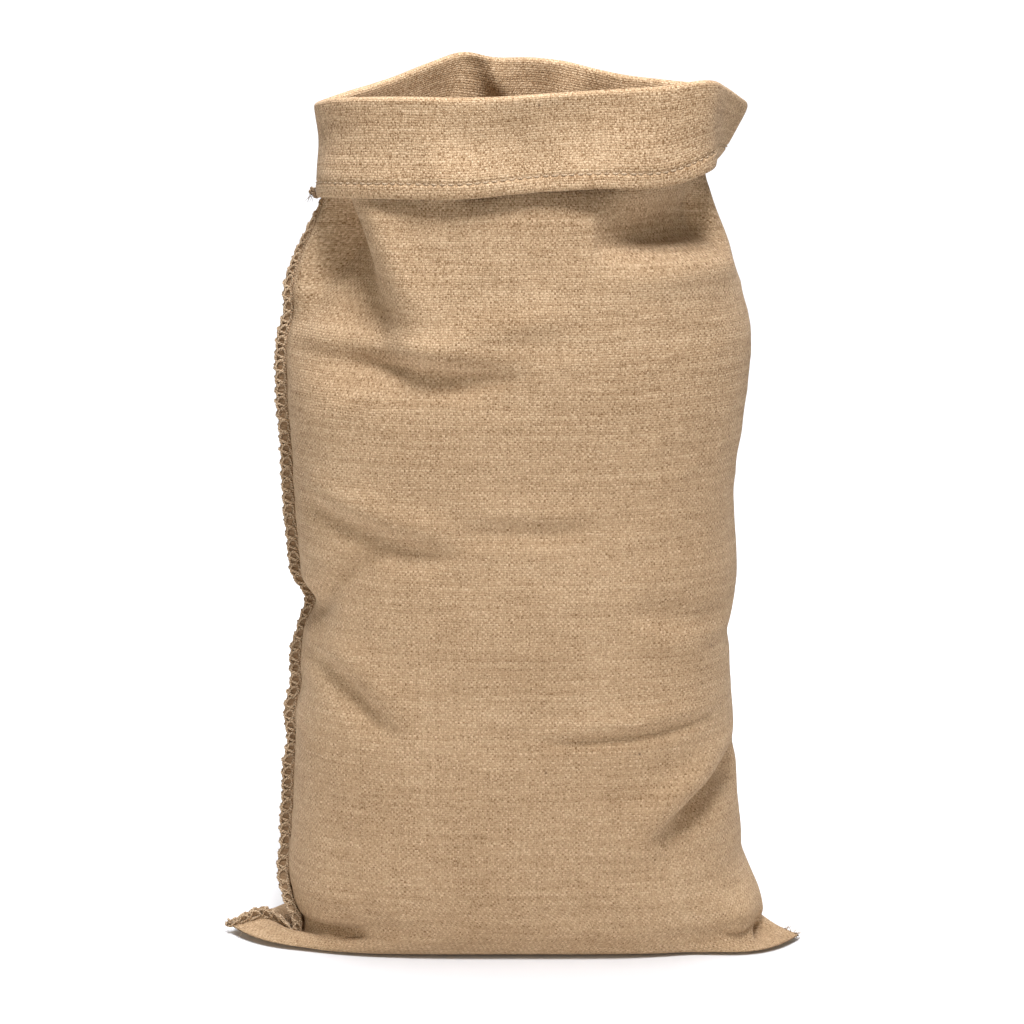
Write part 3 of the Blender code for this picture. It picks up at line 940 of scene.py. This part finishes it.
@dataclass(frozen=True)
class TwineFinish:
    """Twisted jute twine: helical plies and loose hairs."""

    name: str
    pale: Colour
    dim: Colour
    twist: float = 0.0055
    relief: float = 0.0006

    def build(self) -> bpy.types.Material:
        """Make the twine; the plies are a sine of the length plus the way round."""
        graph = Graph(self.name)
        u, v = graph.uv()
        place = graph.place()
        ply = ((u / self.twist + v) * (2.0 * np.pi) * 2.0).sine() * 0.5 + 0.5
        hairs = graph.noise(place, 900.0, 3.0)
        patch = graph.noise(place, 140.0, 2.0)
        shade = ply * 0.40 + hairs * 0.55 + patch * 0.5 - 0.25
        colour = graph.mix(shade.over(0.1, 0.75), self.dim, self.pale)
        colour = graph.mix(graph.tone(), colour, self.dim)
        return graph.finish(colour, 0.9, ((ply * self.relief + hairs * 0.0003, 0.7),), 0.1)


# ---------------------------------------------------------------- the pieces
class Face(Enum):
    """The cloth's two faces."""

    OUTER = 0
    INNER = 1


class LipPoint(NamedTuple):
    """One place across the rolled seam: how far out, and half its thickness in mm."""

    out: float
    half: float


LIP_ACROSS: tuple[LipPoint, ...] = (
    LipPoint(1.0, 0.0), LipPoint(0.96, 1.1), LipPoint(0.80, 1.9), LipPoint(0.55, 2.0),
    LipPoint(0.28, 1.8), LipPoint(0.08, 1.6),
)


@dataclass
class SackCloth:
    """The whole cloth: body, foot with its ears, seam lip, rolled rim, cuff and hem."""

    shape: SackShape
    finish: bpy.types.Material
    columns_per_side: int = 109
    outer_rings: int = 206
    cloth_round: float = 1.19
    stitch_pitch: float = 0.0125
    lip_step: float = 0.0009
    beside_lip: float = 0.0072
    even_from: float = 0.010
    flat: tuple[float, float] = (1.20, 1.10)

    def turns(self) -> Array:
        """Every column's turn: fine ones beside the seam, then even ones round the sack."""
        lip = np.arange(len(LIP_ACROSS)) * self.lip_step
        even = np.linspace(0.0, 1.0, self.columns_per_side + 1)[1:]
        even = even * (1.0 - self.even_from) + self.even_from
        side = np.concatenate((lip, (self.beside_lip,), even)) * 0.5
        return np.concatenate((side, 1.0 - side[-2:0:-1]))

    def draw_lip(self, points: Array, level: Array) -> tuple[Array, Array]:
        """Put the lip's columns on its rolled section, indented at every stitch.

        Args:
            points: The wall, (levels, columns, 3); changed in place.
            level: (levels,).

        Returns:
            The points and a tone that paints shade into the lip's recesses between the twine's
            loops.
        """
        root, way, width = self.shape.lip_frame(level)
        run = run_along(root)
        beat = np.sin(2.0 * np.pi * run / self.stitch_pitch)
        fat = ramp(width, 0.0015, 0.009)
        tone = np.zeros(points.shape[:2])
        for k, place in enumerate(LIP_ACROSS):
            out = place.out * width * (1.0 + 0.05 * beat)
            half = place.half * MM * (0.35 + 0.65 * fat) * (1.0 + 0.10 * beat)
            for column, side in ((k, -1.0), (-k, 1.0)):
                points[:, column] = root + way * out[:, None]
                points[:, column, 1] += side * half
                # Painted shade: the tone darkens the lip's cloth most at its middle, where the
                # twine's loops shade it.
                tone[:, column] = 0.42 * fat * (1.0 - 0.7 * abs(place.out - 0.55))
        return points, tone

    def levels(self, face: Face) -> Array:
        """Levels of the wall's rings, closer where more is seen."""
        if face is Face.OUTER:
            low = np.arange(0.0, 6.0, 0.25)
            heights = np.linspace(0.050, 0.892, self.outer_rings)
        else:
            low = np.arange(0.0, 6.0, 0.5)
            heights = np.concatenate((np.arange(0.050, 0.700, 0.0105),
                                      np.linspace(0.700, 0.892, 40)))
        return np.concatenate((low, self.shape.level_of(heights)))

    def downs(self, turns: Array, face: Face) -> Array:
        """Distances down the cuff, (rows, columns), finest at the hem on the side seen. The
        cloth's inner face is that side, because the cuff is turned over."""
        length = self.shape.cuff_length(turns)[None]
        upper = np.linspace(0.02, 1.0, 18 if face is Face.INNER else 10)[:, None]
        marks = (17.0, 15.5, 14.2, 13.2, 12.3, 11.5, 10.6, 9.4, 7.0, 4.5, 2.6, 1.2, 0.0)
        if face is Face.OUTER:
            marks = (15.5, 12.0, 6.0, 2.6, 0.9, 0.0)
        lower = np.array(marks)[:, None] * MM
        return np.concatenate((upper * (length - 0.0185), length - lower), axis=0)

    def face_points(self, turns: Array, face: Face) -> tuple[Array, Array, int]:
        """One face from the foot's seam line to the hem's edge.

        Args:
            turns: (columns,).
            face: Which of the two.

        Returns:
            Points (rows, columns, 3), tones (rows, columns) that hold the seam lip's painted
            shade, and the row that stands at the height where the weave's rows run level.
        """
        shape = self.shape
        inset = shape.cloth * face.value
        level = self.levels(face)
        wall = shape.wall(level, turns, inset)
        tone = np.zeros(wall.shape[:2])
        if face is Face.OUTER:
            # The lip's tone is painted shade in its recesses between the twine's loops.
            wall, tone = self.draw_lip(wall, level)
        steps = np.array((0.0, 0.05, 0.1, 0.18, 0.3, 0.45, 0.6, 0.75, 0.87, 0.95))
        foot = shape.foot(wall[0], steps)
        angles = np.radians(np.linspace(0.0, 180.0, 12)[1:-1])
        rolled = shape.rolled(turns, angles, face.value)
        cuff = shape.cuff(turns, self.downs(turns, face), face.value)
        points = np.concatenate((foot, wall, rolled, cuff), axis=0)
        rest = np.zeros((len(rolled) + len(cuff), len(turns)))
        tone = np.concatenate((np.zeros((len(foot), len(turns))), tone, rest), axis=0)
        level_row = len(foot) + int(np.searchsorted(level, shape.level_of(np.array(0.10))))
        return points, tone, level_row

    def weave_map(self, points: Array, turns: Array, level_row: int) -> Array:
        """UVs in metres of cloth: round the sack, and up it from the level row.

        Above that row, rows of weft run level; below it each column keeps its own length, so
        the weave turns into the ears as it does in a folded sack.

        Args:
            points: One face, (rows, columns, 3).
            turns: (columns,).
            level_row: The row that stands level.

        Returns:
            (rows, columns + 1, 2).
        """
        steps = np.linalg.norm(np.diff(points, axis=0), axis=2)
        even = np.repeat(np.median(steps, axis=1)[:, None], len(turns), axis=1)
        steps[level_row:] = even[level_row:]
        v = np.concatenate((np.zeros((1, len(turns))), np.cumsum(steps, axis=0)))
        v -= v[level_row]
        v = np.concatenate((v, v[:, :1]), axis=1)
        u = np.concatenate((turns, (1.0,))) * self.cloth_round
        return np.stack((np.broadcast_to(u, v.shape), v), axis=-1)

    def build(self) -> bpy.types.Object:
        turns, data = self.turns(), MeshData()
        columns = len(turns)
        edges, edge_uvs = [], []
        for face in Face:
            points, tone, level_row = self.face_points(turns, face)
            uv = self.weave_map(points, turns, level_row)
            if edge_uvs:
                uv[..., 1] += edge_uvs[0][0, 1] - uv[-1, 0, 1]
            start = data.add_sheet(points, uv, face is Face.INNER, tone)
            edges.append(start + (len(points) - 1) * columns + np.arange(columns))
            edge_uvs.append(uv[-1])
        band = np.stack([np.append(edge, edge[0]) for edge in edges])
        data.add_quads(data.corners(band).reshape(-1, 4),
                       data.corners(np.stack(edge_uvs)).reshape(-1, 4, 2), False)
        cloth = data.make("Sack_Cloth", self.finish)
        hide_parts("sack_cloth")
        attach(cloth, "root")
        return cloth


@dataclass
class SeamTwine:
    """The side seam's overlock: a thread looped over the lip, a second one that closes each
    loop into an oval, and a chain along the lip's root on both sides."""

    shape: SackShape
    finish: bpy.types.Material
    pitch: float = 0.0125
    radius: float = 0.00130
    steps: int = 22
    narrowest: float = 0.0035
    loop_half: float = 0.0036
    oval_half: float = 0.0030
    oval_slope: float = 0.0007
    chain_half: float = 0.0026
    chain_wave: float = 0.0009
    nub_half: float = 0.0016
    nub_lean: float = 0.002

    @staticmethod
    def frame(runs: Array, root: Array, way: Array, width: Array) -> tuple[Array, ...]:
        """The lip's root, outward way and width at lengths along it."""
        known = run_along(root)
        return (read_at(runs, known, root), unit(read_at(runs, known, way)),
                np.interp(runs, known, width))

    @staticmethod
    def fatness(width: Array) -> Array:
        """Share of the full thickness that a narrow lip keeps."""
        return 0.35 + 0.65 * ramp(width, 0.003, 0.010)

    def ovals(self, data: MeshData, rng: np.random.Generator, count: int, total: float,
              lip: tuple[Array, Array, Array]) -> None:
        """On both faces an oval loop for each stitch: out = 0.55 + 0.38 cos b, along =
        0.56 pitch sin b, leaning a little, its near end under the next one.

        Args:
            data: The mesh that takes the loops.
            rng: Small differences from loop to loop.
            count: Stitches on the lip.
            total: The lip's length.
            lip: Its root, way and width.
        """
        angle = np.linspace(-0.6, 2.0 * np.pi - 0.35, 20)
        for sign in (-1.0, 1.0):
            middle = (np.arange(count - 2) + 1.0 + rng.uniform(-0.09, 0.09, count - 2))
            tall = rng.uniform(0.50, 0.62, (count - 2, 1))
            wide_by = rng.uniform(0.34, 0.43, (count - 2, 1))
            runs = (middle[:, None] + tall * np.sin(angle) - 0.16 * np.cos(angle)) * self.pitch
            runs = np.clip(runs, 0.001, total - 0.001)
            base, out, wide = self.frame(runs.ravel(), *lip)
            shape = (*runs.shape, 3)
            base, out, wide = base.reshape(shape), out.reshape(shape), wide.reshape(runs.shape)
            fat = self.fatness(wide)
            bow = wide * (0.55 + wide_by * np.cos(angle))
            lift = sign * fat * (self.oval_half + self.oval_slope * np.sin(angle + 0.5))
            paths = base + out * bow[..., None] + BACK * lift[..., None]
            radius = self.radius * 0.92 * (0.55 + 0.45 * fat) * (1.0 + 0.15 * np.cos(3 * angle))
            data.add_tubes(paths, radius, 6, BACK * sign,
                           rng.uniform(0.0, 0.22, count - 2))

    def build(self) -> bpy.types.Object:
        """Wind the threads from the ear's tip up to the cuff.

        The loops run out = 0.53 + 0.47 cos a and y = thickness sin a, one turn in each pitch.

        Returns:
            All the seam's threads as one piece.
        """
        level = np.concatenate((np.linspace(0.15, 6.0, 90),
                                self.shape.level_of(np.linspace(0.0505, 0.792, 260))))
        root, way, width = self.shape.lip_frame(level)
        width = np.maximum(width, self.narrowest)
        total = float(run_along(root)[-1])
        rng = np.random.default_rng(21)
        count = int(total / self.pitch)
        runs = np.linspace(0.004, total - 0.002, count * self.steps)
        turn = runs / self.pitch
        knots = np.arange(count + 2)
        slack = np.interp(turn, knots, rng.uniform(-0.16, 0.16, count + 2))
        reach = np.interp(turn, knots, rng.uniform(0.92, 1.12, count + 2))
        angle = 2.0 * np.pi * (turn + slack)
        data = MeshData()
        base, out, wide = self.frame(runs, root, way, width)
        fat = self.fatness(wide)
        thick = (self.loop_half * fat)[:, None]
        bow = (0.53 + 0.47 * np.cos(angle)) * reach
        loops = base + out * (wide * bow)[:, None] + BACK * np.sin(angle)[:, None] * thick
        spin = unit(out * np.cos(angle)[:, None] + BACK * np.sin(angle)[:, None])
        radius = self.radius * (1.0 + 0.18 * np.sin(runs * 2100.0)) * (0.6 + 0.4 * fat)
        data.add_tubes(loops[None], radius[None], 7, spin[None], 0.0)
        self.ovals(data, rng, count, total, (root, way, width))
        for sign in (-1.0, 1.0):
            wave = np.sin(angle + 0.6)
            off = sign * (self.chain_half + self.chain_wave * np.cos(angle)) * fat
            chain = base + out * (wide * (0.10 + 0.045 * wave))[:, None] + BACK * off[:, None]
            data.add_tubes(chain[None], radius[None] * 0.85, 6, BACK[None, None] * sign, 0.12)
        ends = np.arange(1, count) * self.pitch
        base, out, wide = self.frame(ends + 0.002, root, way, width)
        nub = np.linspace(-1.0, 1.0, 5)
        tilt = rng.uniform(-0.5, 0.5, len(ends))
        nubs = (base[:, None] + out[:, None] * (wide * 1.02)[:, None, None]
                + BACK * (nub[None] * self.nub_half)[..., None]
                + UP * (nub[None] * tilt[:, None] * self.nub_lean)[..., None])
        fat_nub = self.radius * np.sqrt(np.maximum(1.0 - nub ** 2, 0.02)) * 1.05
        data.add_tubes(nubs, fat_nub[None], 6, out[:, None], 0.35)
        return data.make("Side_Seam_Twine", self.finish)


@dataclass
class Stitching:
    """Short straight stitches in a row, each arching from hole to hole."""

    shape: SackShape
    finish: bpy.types.Material
    hem_up: float = 0.0149
    foot_up: float = 0.0024
    pitch: float = 0.0085
    stitch: float = 0.0068
    radius: float = 0.00104
    scatter: float = 0.0005

    def row(self, line: Array, normal: Array, seed: int) -> MeshData:
        """Stitches along a line: lift = radius (2.4 sin(pi t) - 1.1), t from 0 to 1.

        Args:
            line: (n, 3), on the cloth.
            normal: (n, 3), out of the cloth.
            seed: For the small differences from stitch to stitch.

        Returns:
            The stitches' mesh data.
        """
        rng = np.random.default_rng(seed)
        known = run_along(line)
        count = int(known[-1] / self.pitch)
        t = np.linspace(0.0, 1.0, 9)
        off = rng.uniform(-self.scatter, self.scatter, count)
        start = (np.arange(count) + 0.2) * self.pitch + off
        size = self.stitch * rng.uniform(0.88, 1.08, count)
        runs = start[:, None] + size[:, None] * t
        place, out = read_at(runs, known, line), unit(read_at(runs, known, normal))
        lift = self.radius * (2.4 * np.sin(np.pi * t) - 1.1)
        slant = rng.uniform(-self.scatter, self.scatter, count)[:, None] * (t - 0.5)
        paths = place + out * lift[None, :, None] + UP * slant[..., None]
        data = MeshData()
        fat = self.radius * (0.75 + 0.25 * np.sin(np.pi * t))
        data.add_tubes(paths, fat[None], 6, out, rng.uniform(0.0, 0.35, count))
        return data

    def hem(self) -> bpy.types.Object:
        """The stitches that hold the turned hem, all round the cuff."""
        turns = np.linspace(0.0, 1.0, 721)
        down = (self.shape.cuff_length(turns) - self.hem_up)[None]
        line = self.shape.cuff(turns, down, 1)[0]
        _, away = self.shape.rim(turns)
        return self.row(line, away, 31).make("Hem_Stitches", self.finish)

    def foot(self) -> bpy.types.Object:
        """The stitches along the foot's seam, up in its groove."""
        x = np.linspace(-0.205, 0.205, 60)
        seam_y = -self.shape.centre_y - self.shape.swing(x)
        line = np.stack((x, seam_y, np.full_like(x, self.foot_up)), axis=-1)
        normal = np.broadcast_to((0.0, 0.0, -1.0), line.shape)
        return self.row(line, normal, 32).make("Foot_Seam_Stitches", self.finish)


class Knot(NamedTuple):
    """A tied thread; shift is from the spot that it belongs to."""

    shift: Place
    size: float
    radius: float
    tilt: float
    tone: float


class Tuft(NamedTuple):
    """A bunch of loose ends; shift is from the spot that it belongs to."""

    seed: int
    shift: Place
    way: Place
    count: int
    length: float
    spread: float
    radius: float
    tone: float


HERE: Place = (0.0, 0.0, 0.0)
LEFT_EAR: tuple[Knot | Tuft, ...] = (
    Knot(HERE, 0.0042, 0.0014, 0.5, 0.25),
    Knot((0.006, 0.001, 0.0012), 0.0034, 0.0013, 1.7, 0.15),
    Tuft(41, HERE, (-0.9, -0.2, -0.1), 7, 0.009, 0.6, 0.00032, 0.3),
    Tuft(42, (0.018, -0.012, -0.002), (-0.3, -1.0, -0.1), 3, 0.022, 0.35, 0.00028, 0.25),
)
RIGHT_EAR: tuple[Knot | Tuft, ...] = (
    Tuft(43, HERE, (1.0, -0.1, -0.1), 14, 0.009, 0.30, 0.0006, 0.05),
    Tuft(44, (-0.006, 0.0, 0.004), (0.9, -0.2, 0.1), 6, 0.007, 0.4, 0.0004, 0.3),
)
CUFF_CORNER: tuple[Knot | Tuft, ...] = (
    Knot(HERE, 0.0036, 0.0012, 0.3, 0.45),
    Knot((0.003, -0.003, -0.004), 0.0028, 0.0011, 1.2, 0.7),
    Tuft(45, HERE, (-0.5, -0.1, -1.0), 9, 0.013, 0.45, 0.0004, 0.7),
)


@dataclass
class Knots:
    """Knotted thread ends at the ears' tips and at the cuff's left corner."""

    shape: SackShape
    finish: bpy.types.Material
    left_tip: Place = (-0.2960, -0.021, 0.0105)
    right_tip: Place = (0.291, -0.0405, 0.0058)
    corner_up: float = 0.006
    corner_out: float = 0.0030
    floor: float = 0.0005

    @staticmethod
    def knot(data: MeshData, spot: Array, knot: Knot) -> None:
        """A trefoil: r = 2 + cos 3a, at twice the angle, with height sin 3a.

        Args:
            data: The mesh that takes the knot.
            spot: Where it belongs.
            knot: Its sizes.
        """
        centre = spot + knot.shift
        a = np.linspace(0.0, 2.0 * np.pi, 61)[:-1]
        a = np.append(a, a[:2] + 2.0 * np.pi)
        r = (2.0 + np.cos(3.0 * a)) / 3.0
        path = np.stack((r * np.cos(2.0 * a), 0.75 * np.sin(3.0 * a), r * np.sin(2.0 * a)),
                        axis=-1) * knot.size
        c, s = np.cos(knot.tilt), np.sin(knot.tilt)
        path = path @ np.array(((c, -s, 0.0), (s, c, 0.0), (0.0, 0.0, 1.0))) + centre
        tangent = unit(np.gradient(path, axis=0))
        away = unit(path - centre)
        beside = unit(away - tangent * np.sum(away * tangent, axis=1, keepdims=True)
                      + 1e-4 * UP)
        data.add_tubes(path[None], knot.radius, 7, beside[None], knot.tone)

    def tuft(self, data: MeshData, spot: Array, tuft: Tuft) -> None:
        """Loose ends: start + way t + curl t squared, kept above the floor.

        Args:
            data: The mesh that takes them.
            spot: Where they belong.
            tuft: Their sizes.
        """
        rng = np.random.default_rng(tuft.seed)
        count, length = tuft.count, tuft.length
        t = np.linspace(0.0, 1.0, 14)[None, :, None]
        aim = unit(tuft.way + tuft.spread * rng.normal(size=(count, 3)))[:, None]
        curl = rng.normal(size=(count, 1, 3)) * length * 0.35
        long = length * rng.uniform(0.5, 1.0, count)[:, None, None]
        start = spot + tuft.shift + rng.normal(size=(count, 1, 3)) * 0.0008
        wiggle = 0.05 * length * np.sin(t * 9.0 + rng.uniform(0, 6.0, (count, 1, 1)))
        paths = start + aim * long * t + curl * t ** 2 + wiggle * np.array((0.3, 0.2, 1.0))
        paths[..., 2] = np.maximum(paths[..., 2], self.floor + tuft.radius)
        taper = tuft.radius * (1.0 - 0.6 * t[..., 0])
        data.add_tubes(paths, taper, 5, np.array((0.31, -0.9, 0.3)), tuft.tone)

    def tie(self, data: MeshData, spot: Array, rows: Sequence[Knot | Tuft]) -> None:
        """Put every knot and tuft of a table in at its spot."""
        for row in rows:
            (self.knot if isinstance(row, Knot) else self.tuft)(data, spot, row)

    def ears(self) -> bpy.types.Object:
        """The knot on the left ear's tip, and frayed ends on both ears."""
        data = MeshData()
        self.tie(data, np.array(self.left_tip), LEFT_EAR)
        self.tie(data, np.array(self.right_tip), RIGHT_EAR)
        return data.make("Ear_Knots", self.finish)

    def cuff_corner(self) -> bpy.types.Object:
        """The knot and its dark ends under the cuff's left corner."""
        data, turns = MeshData(), np.array((0.0,))
        down = (self.shape.cuff_length(turns) - self.corner_up)[None]
        spot = self.shape.cuff(turns, down, 1)[0, 0] - (self.corner_out, 0.0, 0.0)
        self.tie(data, spot, CUFF_CORNER)
        return data.make("Cuff_Corner_Knot", self.finish)


@dataclass
class StrayFibres:
    """Fine loose fibres that stand off the cloth."""

    cloth: bpy.types.Object
    finish: bpy.types.Material
    count: int = 1500
    shortest: float = 0.003
    longest: float = 0.009
    radius: float = 0.000085
    above_floor: float = 0.006
    lowest: float = 0.0006

    def read(self, name: str, width: int) -> Array:
        """One property of every face of the cloth, (faces, width)."""
        polygons = self.cloth.data.polygons
        values = np.empty(len(polygons) * width, np.float32)
        polygons.foreach_get(name, values)
        return values.reshape(-1, width)

    def build(self) -> bpy.types.Object:
        """Scatter the fibres by area: start + along t + lift t(1.25 - t) + curl t squared.

        Returns:
            All the fibres as one piece.
        """
        centre, normal = (self.read(name, 3).astype(float) for name in ("center", "normal"))
        area = self.read("area", 1)[:, 0]
        rng = np.random.default_rng(51)
        weight = area * (centre[:, 2] > self.above_floor)
        pick = rng.choice(len(area), self.count, p=weight / weight.sum())
        start, out = centre[pick][:, None], normal[pick][:, None]
        t = np.linspace(0.0, 1.0, 6)[None, :, None]
        spare = rng.normal(size=(self.count, 1, 3))
        along = unit(spare - out * np.sum(spare * out, axis=2, keepdims=True))
        size = rng.uniform(self.shortest, self.longest, (self.count, 1, 1))
        lift = rng.uniform(0.1, 0.55, (self.count, 1, 1))
        curl = np.cross(out, along) * rng.uniform(-0.6, 0.6, (self.count, 1, 1))
        paths = (start - out * 0.0002
                 + size * (along * t + out * lift * t * (1.25 - t) + curl * t ** 2))
        paths[..., 2] = np.maximum(paths[..., 2], self.lowest)
        data = MeshData()
        data.add_tubes(paths, self.radius * (1.0 - 0.5 * t[..., 0]), 3,
                       np.broadcast_to(out, paths.shape), rng.uniform(0.0, 0.4, self.count))
        return data.make("Stray_Fibres", self.finish)


class Lamp(NamedTuple):
    """One soft square light, aimed at the sack's middle or where told."""

    name: str
    place: Place
    size: float
    power: float
    colour: Place
    aim: Place = (0.0, 0.0, 0.5)


WARM, COOL = (1.0, 0.95, 0.86), (1.0, 1.02, 1.08)
LAMPS: tuple[Lamp, ...] = (
    Lamp("Key", (0.26, -1.20, 3.00), 0.75, 81.0, COOL),
    Lamp("Top", (-0.1, 0.15, 3.1), 1.0, 42.0, COOL),
    Lamp("Fill_Left", (-2.4, -2.6, 0.8), 1.6, 16.0, WARM),
    Lamp("Fill_Right", (2.6, -2.4, 0.9), 1.6, 6.0, WARM),
    Lamp("Backdrop_Light", (0.0, 1.2, 3.6), 2.0, 130.0, COOL, (0.0, 4.0, 1.5)),
)


@dataclass
class Studio:
    """Pale floor, soft lights and the camera."""

    floor_colour: Colour = (0.86, 0.86, 0.86, 1.0)
    sky_colour: Colour = (1.0, 0.95, 0.87, 1.0)
    sky_strength: float = 0.20
    sensor: float = 36.0
    aim_height: float = 0.447
    elevation: float = 12.0
    distance: float = 3.6
    view_width: float = 1.05472

    def floor(self) -> None:
        """A broad pale floor that turns up behind into a backdrop."""
        graph = Graph("studio_floor")
        graph.shader.inputs["Base Color"].default_value = self.floor_colour
        graph.shader.inputs["Roughness"].default_value = 0.9
        across = np.linspace(-5.0, 5.0, 2)
        angle = np.linspace(0.0, np.pi / 2.0, 17)
        y = np.concatenate(((-6.0,), 3.0 + 1.5 * np.sin(angle), (4.5,)))
        z = np.concatenate(((0.0,), 1.5 - 1.5 * np.cos(angle), (6.0,))) - 0.0004
        points = [(x, b, c) for b, c in zip(y, z) for x in across]
        faces = [(2 * k, 2 * k + 1, 2 * k + 3, 2 * k + 2) for k in range(len(y) - 1)]
        mesh = bpy.data.meshes.new("Floor")
        mesh.from_pydata(points, [], faces)
        mesh.polygons.foreach_set("use_smooth", [True] * len(mesh.polygons))
        mesh.materials.append(graph.material)
        put_in("Floor", mesh)

    @staticmethod
    def aimed(thing: bpy.types.Object, way: Vector) -> None:
        """Turn a lamp or a camera to look along a direction."""
        thing.rotation_euler = way.to_track_quat("-Z", "Y").to_euler()

    def light(self, lamp: Lamp) -> None:
        """Put in one lamp."""
        data = bpy.data.lights.new(lamp.name, "AREA")
        data.shape, data.size = "SQUARE", lamp.size
        data.energy, data.color = lamp.power, lamp.colour
        thing = put_in(lamp.name, data)
        thing.location = lamp.place
        self.aimed(thing, Vector(lamp.aim) - Vector(lamp.place))

    def build(self) -> None:
        """Set the floor, the lights, the sky and the camera."""
        self.floor()
        for lamp in LAMPS:
            self.light(lamp)
        world = bpy.data.worlds.new("Sky")
        bpy.context.scene.world = world
        world.use_nodes = True
        sky = world.node_tree.nodes["Background"]
        sky.inputs[0].default_value = self.sky_colour
        sky.inputs[1].default_value = self.sky_strength
        self.camera()

    def camera(self) -> None:
        """A long lens a little above the sack, looking along +Y."""
        data = bpy.data.cameras.new("Camera")
        data.sensor_width = self.sensor
        data.lens = self.sensor * self.distance / self.view_width
        eye = put_in("Camera", data)
        tilt = np.radians(self.elevation)
        back = Vector((0.0, -np.cos(tilt), np.sin(tilt)))
        eye.location = Vector((0.0, 0.0, self.aim_height)) + back * self.distance
        self.aimed(eye, -back)
        bpy.context.scene.camera = eye


def add_threads(shape: SackShape, cloth: bpy.types.Object) -> list[bpy.types.Object]:
    """Build every thread on the cloth, each riding with it on the same root body.

    Args:
        shape: The cloth's shape.
        cloth: The finished cloth.

    Returns:
        The thread pieces.
    """
    twine = TwineFinish("seam_twine", (0.70, 0.52, 0.335, 1.0), (0.22, 0.132, 0.066, 1.0)).build()
    thread = TwineFinish("hem_thread", (0.72, 0.55, 0.37, 1.0), (0.30, 0.19, 0.10, 1.0),
                         0.0035, 0.0003).build()
    fibre = TwineFinish("jute_fibre", (0.62, 0.45, 0.28, 1.0), (0.28, 0.18, 0.10, 1.0)).build()
    stitching, knots = Stitching(shape, thread), Knots(shape, twine)
    extras = [SeamTwine(shape, twine).build(), stitching.hem(), stitching.foot(), knots.ears(),
              knots.cuff_corner(), StrayFibres(cloth, fibre).build()]
    for extra in extras:
        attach(extra, "root")
        LOG.info("%s: %d faces", extra.name, len(extra.data.polygons))
    return extras


def main() -> None:
    """Build every piece in order and report it."""
    logging.basicConfig(level=logging.INFO, format="%(name)s: %(message)s")
    shape = SackShape()
    cloth = SackCloth(shape, BurlapFinish().build())
    piece = cloth.build()
    LOG.info("%s: %d faces", piece.name, len(piece.data.polygons))
    extras = add_threads(shape, piece)
    Studio().build()
    bpy.context.scene.view_settings.view_transform = "Standard"


if __name__ == "__main__":
    main()
